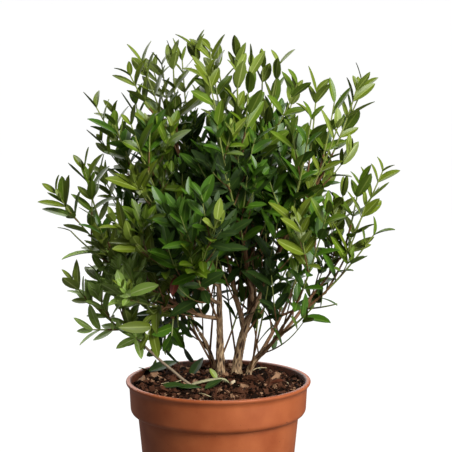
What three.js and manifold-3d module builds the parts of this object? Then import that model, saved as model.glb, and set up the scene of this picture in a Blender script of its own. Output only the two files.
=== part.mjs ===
// A potted myrtle: a bushy evergreen shrub on several stems from one root, in a moulded plastic pot.
// Millimetres, +Z up, origin at the centre of the pot's underside. -Y is the side that faces the viewer.
import * as THREE from "three";
import { mergeVertices } from "three/addons/utils/BufferGeometryUtils.js";
import Module from "manifold-3d";

const wasm = await Module();
wasm.setup();

// Driving dimensions of the pot
const POT_HEIGHT = 165;
const RIM_RADIUS = 95;
const LIP_HEIGHT = 4;
const LIP_OVERHANG = 3.5;
const COLLAR_HEIGHT = 31.5;
const COLLAR_TAPER = 1.4;
const SHOULDER_DROP = 8;
const SHOULDER_STEP = 7.3;
const FOOT_RADIUS = 70;
const FOOT_ROUND = 3;
const WALL = 2;
const DRAIN_HOLES = 6;
const DRAIN_RADIUS = 6;
const DRAIN_CIRCLE = 54;
const ROUND_SIDES = 32;
const DRAIN_SIDES = 8;
const SHOULDER_STEPS = 3;

// Sizes that follow from the pot's
const COLLAR_TOP = RIM_RADIUS - LIP_OVERHANG;
const COLLAR_FOOT = COLLAR_TOP - COLLAR_TAPER;
const BODY_TOP = COLLAR_FOOT - SHOULDER_STEP;
const SHOULDER_HIGH = POT_HEIGHT - COLLAR_HEIGHT + SHOULDER_DROP / 2;
const SHOULDER_LOW = SHOULDER_HIGH - SHOULDER_DROP;

// Driving dimensions of the compost that fills the pot
const COMPOST_DEPTH_BELOW_RIM = 3;
const COMPOST_EDGE_DROP = 6;
const COMPOST_PLATEAU_RADIUS = 58;

// Driving dimensions of the plant, in its own frame: ground level is 0 at the crown's centre
const GAP = 0.3;
const CROWN_BACK = 8;
const CROWN_RADIUS = 186;
const CROWN_TOP = 360;
const CROWN_SQUARENESS = 4;
const GROUND_Z = POT_HEIGHT - COMPOST_DEPTH_BELOW_RIM;
const RIM_CLEARANCE = 5;

// Each stem stands on the ground at its foot [x, y] and leans towards an azimuth: 0 is +X, 90 is +Y.
const STEMS = {
  stem_left: { foot: [2, 14], azimuth: 180, lean: 1, length: 108, radii: [3.9, 2.2] },
  stem_middle: { foot: [19, 13], azimuth: 5, lean: 13, length: 82, radii: [5, 3.3] },
  stem_right: { foot: [31, 7], azimuth: 352, lean: 28, length: 34, radii: [3.3, 2.7] },
  stem_back: { foot: [-4, 27], azimuth: 150, lean: 24, length: 48, radii: [2.1, 1.8] },
};
const STEM_FLARE = 0.3;
const FLARE_SHARE = 0.12;
const STEM_RISE = 0.4;

// Each bough leaves a stem at a share of its length and carries masses of foliage.
// A mass reaches a tip at an azimuth and a distance from the crown's centre, at a height over the ground.
const BOUGHS = {
  bough_left_crest: {
    stem: "stem_left",
    at: 1,
    masses: {
      crest_left: { azimuth: 183, reach: 84, height: 345 },
      crest_back_left: { azimuth: 130, reach: 62, height: 347 },
    },
  },
  bough_left_shoulder: {
    stem: "stem_left",
    at: 0.9,
    masses: {
      shoulder_left: { azimuth: 181, reach: 134, height: 298 },
      shoulder_front_left: { azimuth: 224, reach: 125, height: 285 },
    },
  },
  bough_left_waist: {
    stem: "stem_left",
    at: 0.62,
    masses: {
      waist_left: { azimuth: 184, reach: 178, height: 209 },
      skirt_front_left: { azimuth: 214, reach: 124, height: 100 },
    },
  },
  bough_front: {
    stem: "stem_left",
    at: 0.76,
    masses: {
      waist_front: { azimuth: 271, reach: 160, height: 196 },
      waist_front_left: { azimuth: 228, reach: 163, height: 190 },
    },
  },
  bough_back_shoulder: {
    stem: "stem_back",
    at: 1,
    masses: {
      shoulder_back_left: { azimuth: 137, reach: 125, height: 300 },
      waist_back_left: { azimuth: 146, reach: 167, height: 222 },
    },
  },
  bough_back_skirt: {
    stem: "stem_back",
    at: 0.6,
    masses: {
      skirt_back_left: { azimuth: 155, reach: 142, height: 128 },
      skirt_back: { azimuth: 104, reach: 132, height: 122 },
    },
  },
  bough_front_crest: {
    stem: "stem_middle",
    at: 0.96,
    masses: {
      crest_front: { azimuth: 296, reach: 42, height: 336 },
      shoulder_front: { azimuth: 268, reach: 112, height: 285 },
    },
  },
  bough_crest: {
    stem: "stem_middle",
    at: 1,
    masses: {
      crest_right: { azimuth: 6, reach: 66, height: 344 },
      crest_back: { azimuth: 100, reach: 42, height: 353 },
    },
  },
  bough_back_right: {
    stem: "stem_middle",
    at: 0.85,
    masses: {
      shoulder_back_right: { azimuth: 47, reach: 128, height: 312 },
      waist_back: { azimuth: 93, reach: 162, height: 228 },
    },
  },
  bough_right_shoulder: {
    stem: "stem_middle",
    at: 0.8,
    masses: {
      shoulder_right: { azimuth: 3, reach: 156, height: 318 },
      shoulder_front_right: { azimuth: 318, reach: 126, height: 292 },
    },
  },
  bough_right_waist: {
    stem: "stem_right",
    at: 1,
    masses: {
      waist_right: { azimuth: 357, reach: 176, height: 235 },
      waist_low_right: { azimuth: 349, reach: 172, height: 170 },
    },
  },
  bough_front_right: {
    stem: "stem_right",
    at: 0.75,
    masses: {
      waist_front_right: { azimuth: 312, reach: 162, height: 203 },
      skirt_front_right: { azimuth: 328, reach: 126, height: 100 },
    },
  },
  bough_right_skirt: {
    stem: "stem_right",
    at: 0.55,
    masses: {
      skirt_right: { azimuth: 4, reach: 128, height: 98 },
      waist_back_right: { azimuth: 43, reach: 166, height: 222 },
      skirt_back_right: { azimuth: 52, reach: 134, height: 116 },
    },
  },
  bough_heart: {
    stem: "stem_middle",
    at: 0.66,
    masses: {
      heart_front: { azimuth: 255, reach: 52, height: 232 },
      heart_back: { azimuth: 110, reach: 50, height: 250 },
    },
  },
};
const BOUGH_SHARE = 0.4;
const BOUGH_SAG = 0.16;
const BOUGH_TAPER = 0.7;
const BOUGH_THICKNESS = 0.8;
const NEXT_MASS_STEP = 0.27;
const MASS_PARTING = 0.7;

// The low limb rises before the stems, arches over to lie on the compost and bends up to the far left.
const LOW_FOOT = { foot: [10, -24], rise: 13, bend: [-28, -35, 3.1], radii: [1.8, 1.5] };
const LOW_LIMB = { end: [-84, -8, 46], sag: 4.5, radii: [1.5, 1.3] };
const LOW_MASS = { name: "skirt_left", azimuth: 184, reach: 153, height: 104 };

// Foliage: a mass's own stem, its side twigs and its leaves in opposite pairs, larger than life
const HEART_SHARE = 0.62;
const MASS_STEM_RADII = [1.6, 1.3];
const STEM_BEND = 0.45;
const TWIGS_PER_MASS = 5;
const TWIG_FIRST = 0.15;
const TWIG_LAST = 0.88;
const TWIG_LENGTH = 44;
const TWIG_SHORTENING = 0.45;
const TWIG_VARIETY = 0.5;
const TWIG_NECK = 0.25;
const TWIG_SPREAD = { mean: 46, sway: 20 };
const TWIG_LIFT = 0.2;
const TWIG_RADII = [1.1, 0.9];
const TWIG_TRIES = [1, 0.75, 0.5];
const TURN_STEP = THREE.MathUtils.degToRad(137.5);
const LEAF_PAIRS = [0.55, 0.95];
const STEM_LEAF_PAIRS = [0.36, 0.56, 0.77, 0.98];
const LEAF_LENGTH = 50;
const LEAF_WIDTH = 24;
const LEAF_WIDEST = 0.44;
const LEAF_THICKNESS = 2;
const LEAF_SPREAD = { foot: 58, tip: 30, sway: 14 };
const LEAF_LIGHT_TURN = 0.45;
const LEAF_ROOT = 0.4;
const LEAF_TRIES = [1, 0.8, 0.62];
const LEAF_NECK = 0.06;
const LEAF_VARIETY = 0.3;
const LEAF_SHRINKING = 0.25;
const LEAF_STEP = 3.5;

// Fineness of the solids and of the tests for room
const LIMB_ROWS = 4;
const STEM_SIDES = 8;
const BOUGH_SIDES = 6;
const MASS_STEM_ROWS = 5;
const MASS_STEM_SIDES = 4;
const TWIG_SIDES = 3;
const LIMB_SAMPLES = 24;
const FINE_SAMPLES = 96;
const FOOT_STATIONS = [0, 0.03, 0.07, 0.12, 0.2, 0.3];
const TWIG_SAMPLES = 12;
const LEAF_SAMPLES = 8;
const MERGE_DISTANCE = 0.003;
const MESH_TOLERANCE = 0.02;
const SORTED_NEIGHBOURS = 8;
const NEARLY_STRAIGHT = 0.001;
const UP = new THREE.Vector3(0, 0, 1);

// A number from 0 to 1 that is always the same for the same keys.
function chance(...keys) {
  const mixed = keys.reduce((sum, key, i) => sum + key * (12.9898 + 65.233 * i), 4.1414);
  const wave = Math.sin(mixed) * 43758.5453;
  return wave - Math.floor(wave);
}

function around(azimuth, reach, height) {
  const angle = THREE.MathUtils.degToRad(azimuth);
  return new THREE.Vector3(reach * Math.cos(angle), reach * Math.sin(angle), height);
}

// A tapering limb along a plane curve, with an optional flare at its foot.
class Limb extends THREE.QuadraticBezierCurve3 {
  constructor(foot, bend, tip, [footRadius, tipRadius], flare = 0) {
    super(foot, bend, tip);
    Object.assign(this, { footRadius, tipRadius, flare });
    this.square = bend.clone().sub(foot).cross(tip.clone().sub(foot));
    if (this.square.length() < NEARLY_STRAIGHT) this.square.copy(tip).sub(foot).cross(UP);
    this.square.normalize();
  }

  radius(t) {
    const taper = THREE.MathUtils.lerp(this.footRadius, this.tipRadius, t);
    return taper * (1 + this.flare * Math.exp(-t / FLARE_SHARE));
  }

  // Two unit vectors square to the limb and to each other.
  across(t) {
    const tangent = this.getTangent(t);
    const side = this.square.clone().cross(tangent).normalize();
    return [side, side.clone().cross(tangent)];
  }
}

function solidOf(geometry) {
  const bare = geometry.clone();
  bare.deleteAttribute("normal");
  bare.deleteAttribute("uv");
  const merged = mergeVertices(bare);
  return new wasm.Manifold(
    new wasm.Mesh({
      numProp: 3,
      vertProperties: merged.attributes.position.array,
      triVerts: new Uint32Array(merged.index.array),
    }),
  );
}

// A solid's largest closed body, with loose scraps and sealed hollows left out.
function largestBody(solid) {
  const [body] = solid.decompose().sort((a, b) => b.volume() - a.volume());
  return body;
}

// Whether a solid is one body with no two vertices so near that they would merge.
function isSound(solid) {
  const { vertProperties } = solid.getMesh();
  const vertices = Array.from({ length: vertProperties.length / 3 }, (_, i) =>
    new THREE.Vector3().fromArray(vertProperties, 3 * i),
  ).sort((a, b) => a.x - b.x);
  const apart = (a, b) => Math.abs(a.x - b.x) > MERGE_DISTANCE || a.distanceTo(b) > MERGE_DISTANCE;
  const allApart = vertices.every((vertex, i) =>
    vertices.slice(i + 1, i + SORTED_NEIGHBOURS).every((other) => apart(vertex, other)),
  );
  return allApart && solid.decompose().length === 1;
}

function geometryOf(solid) {
  const mesh = largestBody(solid).getMesh();
  const geometry = new THREE.BufferGeometry();
  geometry.setAttribute("position", new THREE.BufferAttribute(mesh.vertProperties, 3));
  geometry.setIndex(new THREE.BufferAttribute(mesh.triVerts, 1));
  geometry.computeVertexNormals();
  return geometry;
}

function moveVertices(geometry, move) {
  const position = geometry.attributes.position;
  const vertex = new THREE.Vector3();
  for (let i = 0; i < position.count; i++) {
    const moved = move(vertex.fromBufferAttribute(position, i));
    position.setXYZ(i, moved.x, moved.y, moved.z);
  }
  return geometry;
}

// A closed round tube along a limb, thicker all round by grow.
function limbGeometry(limb, sides, rows, grow = 0) {
  return moveVertices(new THREE.CylinderGeometry(1, 1, 1, sides, rows), (vertex) => {
    const t = vertex.y + 0.5;
    const [side, square] = limb.across(t);
    const radius = limb.radius(t) + grow;
    return limb
      .getPoint(t)
      .addScaledVector(side, vertex.x * radius)
      .addScaledVector(square, vertex.z * radius);
  });
}

// The pot: a lathe-turned wall with a rolled lip and a collar, and a base with drain holes.
function potGeometry() {
  const lipRound = LIP_HEIGHT / 4;
  const profile = new THREE.Path();
  profile.moveTo(0, 0);
  profile.lineTo(FOOT_RADIUS - FOOT_ROUND, 0);
  profile.lineTo(FOOT_RADIUS, FOOT_ROUND);
  profile.lineTo(BODY_TOP, SHOULDER_LOW);
  profile.quadraticCurveTo(COLLAR_FOOT, SHOULDER_LOW + SHOULDER_DROP / 4, COLLAR_FOOT, SHOULDER_HIGH);
  profile.lineTo(COLLAR_TOP, POT_HEIGHT - LIP_HEIGHT);
  profile.lineTo(RIM_RADIUS, POT_HEIGHT - LIP_HEIGHT + lipRound);
  profile.lineTo(RIM_RADIUS, POT_HEIGHT - lipRound);
  profile.lineTo(RIM_RADIUS - lipRound, POT_HEIGHT);
  profile.lineTo(COLLAR_TOP - WALL, POT_HEIGHT);
  profile.lineTo(COLLAR_FOOT - WALL, SHOULDER_HIGH);
  profile.lineTo(BODY_TOP - WALL, SHOULDER_LOW);
  profile.lineTo(FOOT_RADIUS - WALL, FOOT_ROUND + WALL);
  profile.lineTo(FOOT_RADIUS - WALL - FOOT_ROUND, WALL);
  profile.lineTo(0, WALL);
  const wall = solidOf(new THREE.LatheGeometry(profile.getPoints(SHOULDER_STEPS), ROUND_SIDES));
  const drill = new THREE.CylinderGeometry(DRAIN_RADIUS, DRAIN_RADIUS, 4 * WALL, DRAIN_SIDES);
  return geometryOf(
    Array.from({ length: DRAIN_HOLES }, (_, i) => (i * 2 * Math.PI) / DRAIN_HOLES)
      .map((turn) => drill.clone().translate(DRAIN_CIRCLE, 0, 0).rotateY(turn))
      .reduce((pot, hole) => pot.subtract(solidOf(hole)), wall),
  );
}

// The compost fills the pot to just under its rim: flat round the stems and lower at the wall.
function compostGeometry() {
  const inset = WALL + 2 * GAP;
  const profile = [
    [0, WALL + GAP],
    [FOOT_RADIUS - inset - FOOT_ROUND, WALL + GAP],
    [FOOT_RADIUS - inset, FOOT_ROUND + WALL + GAP],
    [BODY_TOP - inset, SHOULDER_LOW],
    [COLLAR_FOOT - inset, SHOULDER_HIGH + GAP],
    [COLLAR_FOOT - inset, GROUND_Z - COMPOST_EDGE_DROP],
    [COMPOST_PLATEAU_RADIUS, GROUND_Z],
    [0, GROUND_Z],
  ].map(([radius, z]) => new THREE.Vector2(radius, z));
  return new THREE.LatheGeometry(profile, ROUND_SIDES);
}

// A stem leaves the ground upright, so its foot is cut level, and then leans over.
function stemLimb({ foot, azimuth, lean, length, radii }) {
  const base = new THREE.Vector3(...foot, GAP);
  const angle = THREE.MathUtils.degToRad(lean);
  const tip = around(azimuth, length * Math.sin(angle), length * Math.cos(angle)).add(base);
  return new Limb(base, base.clone().addScaledVector(UP, STEM_RISE * length), tip, radii, STEM_FLARE);
}

// A limb from one point to another that hangs a little under the straight line between them.
function saggingLimb(foot, tip, sag, radii) {
  return new Limb(foot, foot.clone().lerp(tip, 0.5).addScaledVector(UP, -sag), tip, radii);
}

// A bough heads for the middle of its masses and stops part of the way there.
function boughLimb(stem, at, masses) {
  const foot = stem.getPoint(at);
  const aim = new THREE.Vector3();
  masses.forEach((mass) => aim.addScaledVector(mass.tip, 1 / masses.length));
  const tip = foot.clone().lerp(aim, BOUGH_SHARE);
  const sag = BOUGH_SAG * Math.hypot(tip.x - foot.x, tip.y - foot.y);
  const thickness = stem.radius(at) * BOUGH_THICKNESS;
  return saggingLimb(foot, tip.addScaledVector(UP, -sag), sag, [thickness, thickness * BOUGH_TAPER]);
}

const shares = (steps) => Array.from({ length: steps + 1 }, (_, i) => i / steps);

function samplesOf(limb, steps = LIMB_SAMPLES) {
  return shares(steps).map((t) => ({ centre: limb.getPoint(t), radius: limb.radius(t) }));
}

// A mass's own stem starts just clear of its bough's tip or side and turns towards the mass's tip.
function massStem(bough, at, leafTip) {
  const onward = bough.getTangent(at);
  const start = bough.getPoint(at);
  const leave = leafTip.clone().sub(start).normalize().lerp(onward, 1 - MASS_PARTING).normalize();
  const stemFrom = (away) => {
    const foot = start.clone().addScaledVector(leave, away);
    const tip = leafTip.clone().lerp(foot, LEAF_LENGTH / (LEAF_LENGTH + foot.distanceTo(leafTip)));
    const bend = foot.clone().addScaledVector(leave, STEM_BEND * foot.distanceTo(tip));
    return new Limb(foot, bend, tip, MASS_STEM_RADII);
  };
  if (at === 1) return stemFrom(GAP + MASS_STEM_RADII[0] * Math.sin(onward.angleTo(leave)));
  const wood = samplesOf(bough, FINE_SAMPLES);
  for (let away = 0; ; away += GAP / 2) {
    const stem = stemFrom(away);
    const surface = FOOT_STATIONS.flatMap((t) =>
      stem.across(t).flatMap((side) =>
        [-1, 0, 1].map((sign) => stem.getPoint(t).addScaledVector(side, sign * stem.radius(t))),
      ),
    );
    const clear = ({ centre, radius }) => surface.every((point) => point.distanceTo(centre) > radius + GAP);
    if (wood.every(clear)) return stem;
  }
}

const limbs = {};
const masses = [];

function addMass(name, bough, at, tip) {
  const stem = massStem(bough, at, tip);
  const heart = stem.getPoint(HEART_SHARE);
  masses.push({ name, number: masses.length + 1, stem, heart, solid: null, leaves: [] });
}

for (const [name, sizes] of Object.entries(STEMS)) limbs[name] = stemLimb(sizes);
for (const [name, { stem, at, masses: rows }] of Object.entries(BOUGHS)) {
  const tips = Object.entries(rows).map(([mass, { azimuth, reach, height }]) => ({
    mass,
    tip: around(azimuth, reach, height),
  }));
  const bough = boughLimb(limbs[stem], at, tips);
  limbs[name] = bough;
  tips.forEach(({ mass, tip }, i) => addMass(mass, bough, 1 - NEXT_MASS_STEP * i, tip));
}

const lowStart = new THREE.Vector3(...LOW_FOOT.foot, GAP);
const lowBend = new THREE.Vector3(...LOW_FOOT.bend);
const lowRise = lowBend.clone().add(new THREE.Vector3(-GAP, 0, GAP));
limbs.low_foot = new Limb(lowStart, lowStart.clone().setZ(LOW_FOOT.rise), lowBend, LOW_FOOT.radii);
limbs.low_limb = saggingLimb(lowRise, new THREE.Vector3(...LOW_LIMB.end), LOW_LIMB.sag, LOW_LIMB.radii);
addMass(LOW_MASS.name, limbs.low_limb, 1, around(LOW_MASS.azimuth, LOW_MASS.reach, LOW_MASS.height));

const limbSamples = Object.values(limbs).flatMap((limb) => samplesOf(limb));
for (const mass of masses) mass.samples = samplesOf(mass.stem);

// A mass owns every point that is nearer to its heart than to another mass's.
function owns(mass, point) {
  const own = point.distanceToSquared(mass.heart);
  return masses.every((other) => {
    if (other === mass) return true;
    const margin = point.distanceToSquared(other.heart) - own;
    return margin > 2 * GAP * mass.heart.distanceTo(other.heart);
  });
}

// The crown's outline is a rounded barrel that clears the pot's rim.
function inCrown({ x, y, z }) {
  const middle = CROWN_TOP / 2;
  const out = (Math.hypot(x, y) / CROWN_RADIUS) ** CROWN_SQUARENESS;
  const up = (Math.abs(z - middle) / middle) ** CROWN_SQUARENESS;
  return z > RIM_CLEARANCE && out + up < 1;
}

// Whether a piece with these points and half-width stays in its mass's space, off the pot and the limbs.
function hasRoom(mass, points, halfWidth) {
  const clear = ({ centre, radius }) =>
    points.every((point) => point.distanceTo(centre) > radius + halfWidth + GAP);
  return (
    points.every((point) => inCrown(point) && owns(mass, point)) &&
    limbSamples.every(clear) &&
    masses.every((other) => other === mass || other.samples.every(clear))
  );
}

// A side twig leaves the mass's stem at an angle and lifts towards the light.
// It is shortened to fit, or left out.
function twigLimb(mass, i) {
  const share = i / (TWIGS_PER_MASS - 1);
  const at = THREE.MathUtils.lerp(TWIG_FIRST, TWIG_LAST, share);
  const turn = i * TURN_STEP + 2 * Math.PI * chance(mass.number, 1);
  const sway = TWIG_SPREAD.sway * (chance(mass.number, i, 2) - 0.5);
  const lean = THREE.MathUtils.degToRad(TWIG_SPREAD.mean + sway);
  const [side, square] = mass.stem.across(at);
  const heading = mass.stem
    .getTangent(at)
    .multiplyScalar(Math.cos(lean))
    .addScaledVector(side, Math.sin(lean) * Math.cos(turn))
    .addScaledVector(square, Math.sin(lean) * Math.sin(turn))
    .addScaledVector(UP, TWIG_LIFT)
    .normalize();
  const variety = 1 + TWIG_VARIETY * (chance(mass.number, i, 3) - 0.5);
  const length = TWIG_LENGTH * (1 - TWIG_SHORTENING * share) * variety;
  const foot = mass.stem.getPoint(at);
  for (const size of TWIG_TRIES.map((part) => part * length)) {
    const tip = foot.clone().addScaledVector(heading, size);
    const twig = new Limb(foot, foot.clone().lerp(tip, 0.5), tip, TWIG_RADII);
    const points = shares(TWIG_SAMPLES).map((t) => twig.getPoint(THREE.MathUtils.lerp(TWIG_NECK, 1, t)));
    if (hasRoom(mass, points, TWIG_RADII[0])) return twig;
  }
  return null;
}

// A leaf: a keeled blade, pointed at both ends and flat on top.
function leafGeometry(root, along, side, normal, length, width) {
  const outline = [new THREE.Vector2(0, 0), new THREE.Vector2(1, LEAF_WIDEST), new THREE.Vector2(0, 1)];
  return moveVertices(new THREE.LatheGeometry(outline, 3), ({ x, y, z }) =>
    root
      .clone()
      .addScaledVector(along, y * length)
      .addScaledVector(side, (-x / Math.sin(Math.PI / 3)) * (width / 2))
      .addScaledVector(normal, -Math.max(0, z) * LEAF_THICKNESS),
  );
}

// One leaf of a pair on a limb: it spreads from the limb and turns its face towards the light.
// It is left out where it has no room, would cut through another leaf or would miss its limb.
function addLeaf(mass, limb, t, turn, size, key) {
  const [side, square] = limb.across(t);
  const tangent = limb.getTangent(t);
  const spread = THREE.MathUtils.lerp(LEAF_SPREAD.foot, LEAF_SPREAD.tip, t);
  const lean = THREE.MathUtils.degToRad(spread + LEAF_SPREAD.sway * (chance(...key, 5) - 0.5));
  const out = side.multiplyScalar(Math.cos(turn)).addScaledVector(square, Math.sin(turn));
  const along = tangent.clone().multiplyScalar(Math.cos(lean)).addScaledVector(out, Math.sin(lean));
  const normal = tangent
    .multiplyScalar(Math.sin(lean))
    .addScaledVector(out, -Math.cos(lean))
    .addScaledVector(UP, LEAF_LIGHT_TURN);
  normal.addScaledVector(along, -normal.dot(along)).normalize();
  const across = along.clone().cross(normal);
  const root = limb.getPoint(t).addScaledVector(along, -LEAF_ROOT);
  for (const scale of LEAF_TRIES.map((part) => part * size)) {
    const length = LEAF_LENGTH * scale * (1 + LEAF_VARIETY * (chance(...key, 6) - 0.5));
    const width = LEAF_WIDTH * scale;
    const points = shares(LEAF_SAMPLES).flatMap((share) => {
      const spine = root.clone().addScaledVector(along, THREE.MathUtils.lerp(LEAF_NECK, 1, share) * length);
      const half = (width / 2) * Math.min(1, (1 - share) / (1 - LEAF_WIDEST));
      return [-half, 0, half].map((step) => spine.clone().addScaledVector(across, step));
    });
    if (!hasRoom(mass, points, LEAF_THICKNESS)) continue;
    const leaf = solidOf(leafGeometry(root, along, across, normal, length, width));
    if (mass.leaves.some((other) => leaf.intersect(other).volume() > 0)) continue;
    if (!fuse(mass, leaf)) continue;
    mass.leaves.push(leaf);
    return;
  }
}

// Leaves in nearly opposite pairs along a limb, each pair a quarter turn on and smaller to the tip.
function addLeaves(mass, limb, stations, limbKey) {
  const step = LEAF_STEP / limb.getLength();
  stations.forEach((station, pair) => {
    const size = 1 - LEAF_SHRINKING * (pair / stations.length);
    for (const half of [0, 1]) {
      const turn = (pair * Math.PI) / 2 + half * Math.PI + chance(mass.number, limbKey, 4) * Math.PI;
      addLeaf(mass, limb, station - half * step, turn, size, [mass.number, limbKey, pair, half]);
    }
  });
}

// Fuses a piece to its mass, unless it would hang loose or leave a sliver.
function fuse(mass, piece) {
  const fused = mass.solid.add(piece).simplify(MESH_TOLERANCE);
  if (!isSound(fused)) return false;
  mass.solid = fused;
  return true;
}

function massGeometry(mass) {
  mass.solid = solidOf(limbGeometry(mass.stem, MASS_STEM_SIDES, MASS_STEM_ROWS));
  const twigs = Array.from({ length: TWIGS_PER_MASS }, (_, i) => twigLimb(mass, i))
    .filter(Boolean)
    .filter((twig) => fuse(mass, solidOf(limbGeometry(twig, TWIG_SIDES, 1))));
  addLeaves(mass, mass.stem, STEM_LEAF_PAIRS, 0);
  twigs.forEach((twig, i) => addLeaves(mass, twig, LEAF_PAIRS, i + 1));
  return geometryOf(mass.solid);
}

const POT_PLASTIC = { color: 0xb0602f, roughness: 0.45, metalness: 0 };
const COMPOST = { color: 0x2b1a12, roughness: 0.95, metalness: 0 };
const BARK = { color: 0x6b5138, roughness: 0.85, metalness: 0 };
const FOLIAGE = { color: 0x3c5a22, roughness: 0.4, metalness: 0 };

function piece(name, geometry, finish) {
  const mesh = new THREE.Mesh(geometry, new THREE.MeshStandardMaterial(finish));
  mesh.name = name;
  return mesh;
}

const myrtle = new THREE.Group();

const container = new THREE.Group();
container.rotation.x = Math.PI / 2;
container.add(piece("pot", potGeometry(), POT_PLASTIC));
container.add(piece("compost", compostGeometry(), COMPOST));
myrtle.add(container);

const shrub = new THREE.Group();
shrub.position.set(0, CROWN_BACK, GROUND_Z);
const grown = [];
for (const [name, limb] of Object.entries(limbs)) {
  const sides = name in STEMS ? STEM_SIDES : BOUGH_SIDES;
  const cut = grown.reduce(
    (solid, earlier) => solid.subtract(earlier),
    solidOf(limbGeometry(limb, sides, LIMB_ROWS)),
  );
  shrub.add(piece(name, geometryOf(cut), BARK));
  grown.push(solidOf(limbGeometry(limb, sides, LIMB_ROWS, GAP)));
}
for (const mass of masses) shrub.add(piece(mass.name, massGeometry(mass), FOLIAGE));
myrtle.add(shrub);

export default myrtle;
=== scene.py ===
"""A potted myrtle, dressed for its picture.

The plant grows in millimetres in its own frame, with ground level at 0 and the crown's centre at the origin,
by the same rule as the solids and from the same sizes, and is carried on to finer twigs and true leaves.
Meshes are in metres in the row frame: +Z is up, and -Y is the side that faces the viewer.
"""
import logging
import math
from collections.abc import Iterator
from dataclasses import dataclass, field, fields, replace
from enum import Enum

import bmesh
import bpy
import numpy as np
from mathutils import Matrix, Vector, noise


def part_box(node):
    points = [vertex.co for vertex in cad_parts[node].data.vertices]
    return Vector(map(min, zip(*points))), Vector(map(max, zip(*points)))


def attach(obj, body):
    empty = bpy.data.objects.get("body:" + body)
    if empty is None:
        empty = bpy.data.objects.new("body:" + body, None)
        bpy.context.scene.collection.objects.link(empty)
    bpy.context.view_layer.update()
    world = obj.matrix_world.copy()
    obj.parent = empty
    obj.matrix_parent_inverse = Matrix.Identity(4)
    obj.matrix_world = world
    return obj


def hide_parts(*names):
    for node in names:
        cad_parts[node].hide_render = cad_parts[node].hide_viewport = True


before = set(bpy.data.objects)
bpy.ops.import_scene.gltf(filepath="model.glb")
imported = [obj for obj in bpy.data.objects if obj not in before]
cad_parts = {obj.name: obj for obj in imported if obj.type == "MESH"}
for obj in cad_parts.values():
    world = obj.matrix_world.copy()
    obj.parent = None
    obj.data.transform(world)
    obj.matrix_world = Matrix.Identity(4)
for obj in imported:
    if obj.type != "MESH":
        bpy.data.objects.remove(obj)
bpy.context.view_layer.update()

log = logging.getLogger("potted_myrtle")

MM = 0.001
BODY = "root"
WHITE, BLACK = "#ffffff", "#000000"
UP = np.array([0.0, 0.0, 1.0])
GROUND = np.array([0.0, 8.0, 162.0])
GOLDEN_TURN = math.radians(137.5)
NEARLY_STRAIGHT = 0.001
LENGTH_STEPS = 17
DOUBLES = 0.01 * MM
SMOOTH_FOLD = math.radians(50)
WAVE_START = 4.1414
WAVE_STEPS = (12.9898, 65.233)
WAVE_HEIGHT = 43758.5453

Point = np.ndarray
Range = tuple[float, float]
Triple = tuple[float, float, float]
Colour = tuple[float, float, float, float]


# Small helpers


def linear(hex_colour: str) -> Colour:
    """Turn an sRGB hex colour into a linear one.

    Args:
        hex_colour: Six hex digits, with or without a leading #.

    Returns:
        Linear red, green, blue and an alpha of one.
    """
    digits = hex_colour.lstrip("#")
    shares = [int(digits[i : i + 2], 16) / 255 for i in (0, 2, 4)]
    red, green, blue = (c / 12.92 if c <= 0.04045 else ((c + 0.055) / 1.055) ** 2.4 for c in shares)
    return red, green, blue, 1.0


def per_size(size_mm: float) -> float:
    """The scale of a texture whose features are this many millimetres wide."""
    return 1 / (size_mm * MM)


def chance(*keys: float) -> float:
    """Draw a number that is always the same for the same keys.

    Args:
        *keys: Numbers that name the draw. The last one is the draw's own, so that no two draws are alike.

    Returns:
        A number from 0 to 1.
    """
    first, step = WAVE_STEPS
    mixed = WAVE_START + sum(key * (first + step * i) for i, key in enumerate(keys))
    wave = math.sin(mixed) * WAVE_HEIGHT
    return wave - math.floor(wave)


def sway(*keys: float) -> float:
    """A number from -1 to 1 that is always the same for the same keys."""
    return 2 * chance(*keys) - 1


def mix(a: float | Point, b: float | Point, share: float | Point) -> float | Point:
    """The value at a share of the way from a to b."""
    return a + (b - a) * share


def unit(vector: Point) -> Point:
    """A vector at length one."""
    return vector / np.linalg.norm(vector)


def squared_to(vector: Point, along: Point) -> Point:
    """The unit vector nearest to a vector that is square to a direction."""
    return unit(vector - along * float(vector @ along))


def around(azimuth: float, reach: float, height: float) -> Point:
    """A point at an azimuth in degrees, a distance from the axis and a height."""
    angle = math.radians(azimuth)
    return np.array([reach * math.cos(angle), reach * math.sin(angle), height])


def add_node(
    tree: bpy.types.NodeTree,
    kind: str,
    values: dict[str | int, object] | None = None,
    links: dict[str | int, bpy.types.NodeSocket] | None = None,
    **settings: object,
) -> bpy.types.Node:
    """Add a node to a tree.

    Args:
        tree: The tree that gets the node.
        kind: Blender's name for the node's type.
        values: Values for its inputs, by name or number.
        links: Outputs to link to its inputs, by name or number.
        **settings: Properties of the node.

    Returns:
        The new node.
    """
    node = tree.nodes.new(kind)
    for name, value in settings.items():
        setattr(node, name, value)
    for socket, value in (values or {}).items():
        node.inputs[socket].default_value = value
    for socket, output in (links or {}).items():
        tree.links.new(output, node.inputs[socket])
    return node


# Finishes


@dataclass(frozen=True)
class Finish:
    """A surface of one colour all over, and the ground for the patterned ones."""

    name: str
    colour: str
    roughness: float = 0.5
    ior: float = 1.5

    def material(self) -> bpy.types.Material:
        """Make the finish's material, or find it where it is already made.

        Returns:
            The material.
        """
        found = bpy.data.materials.get(self.name)
        if found:
            return found
        made = bpy.data.materials.new(self.name)
        made.use_nodes = True
        shader = made.node_tree.nodes["Principled BSDF"]
        shader.inputs["Base Color"].default_value = linear(self.colour)
        shader.inputs["Roughness"].default_value = self.roughness
        shader.inputs["IOR"].default_value = self.ior
        self.paint(made.node_tree, shader)
        return made

    def paint(self, tree: bpy.types.NodeTree, shader: bpy.types.Node) -> None:
        """Add the finish's pattern to its shader. A plain finish has none.

        Args:
            tree: The material's nodes.
            shader: The shader that the pattern feeds.
        """


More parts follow.
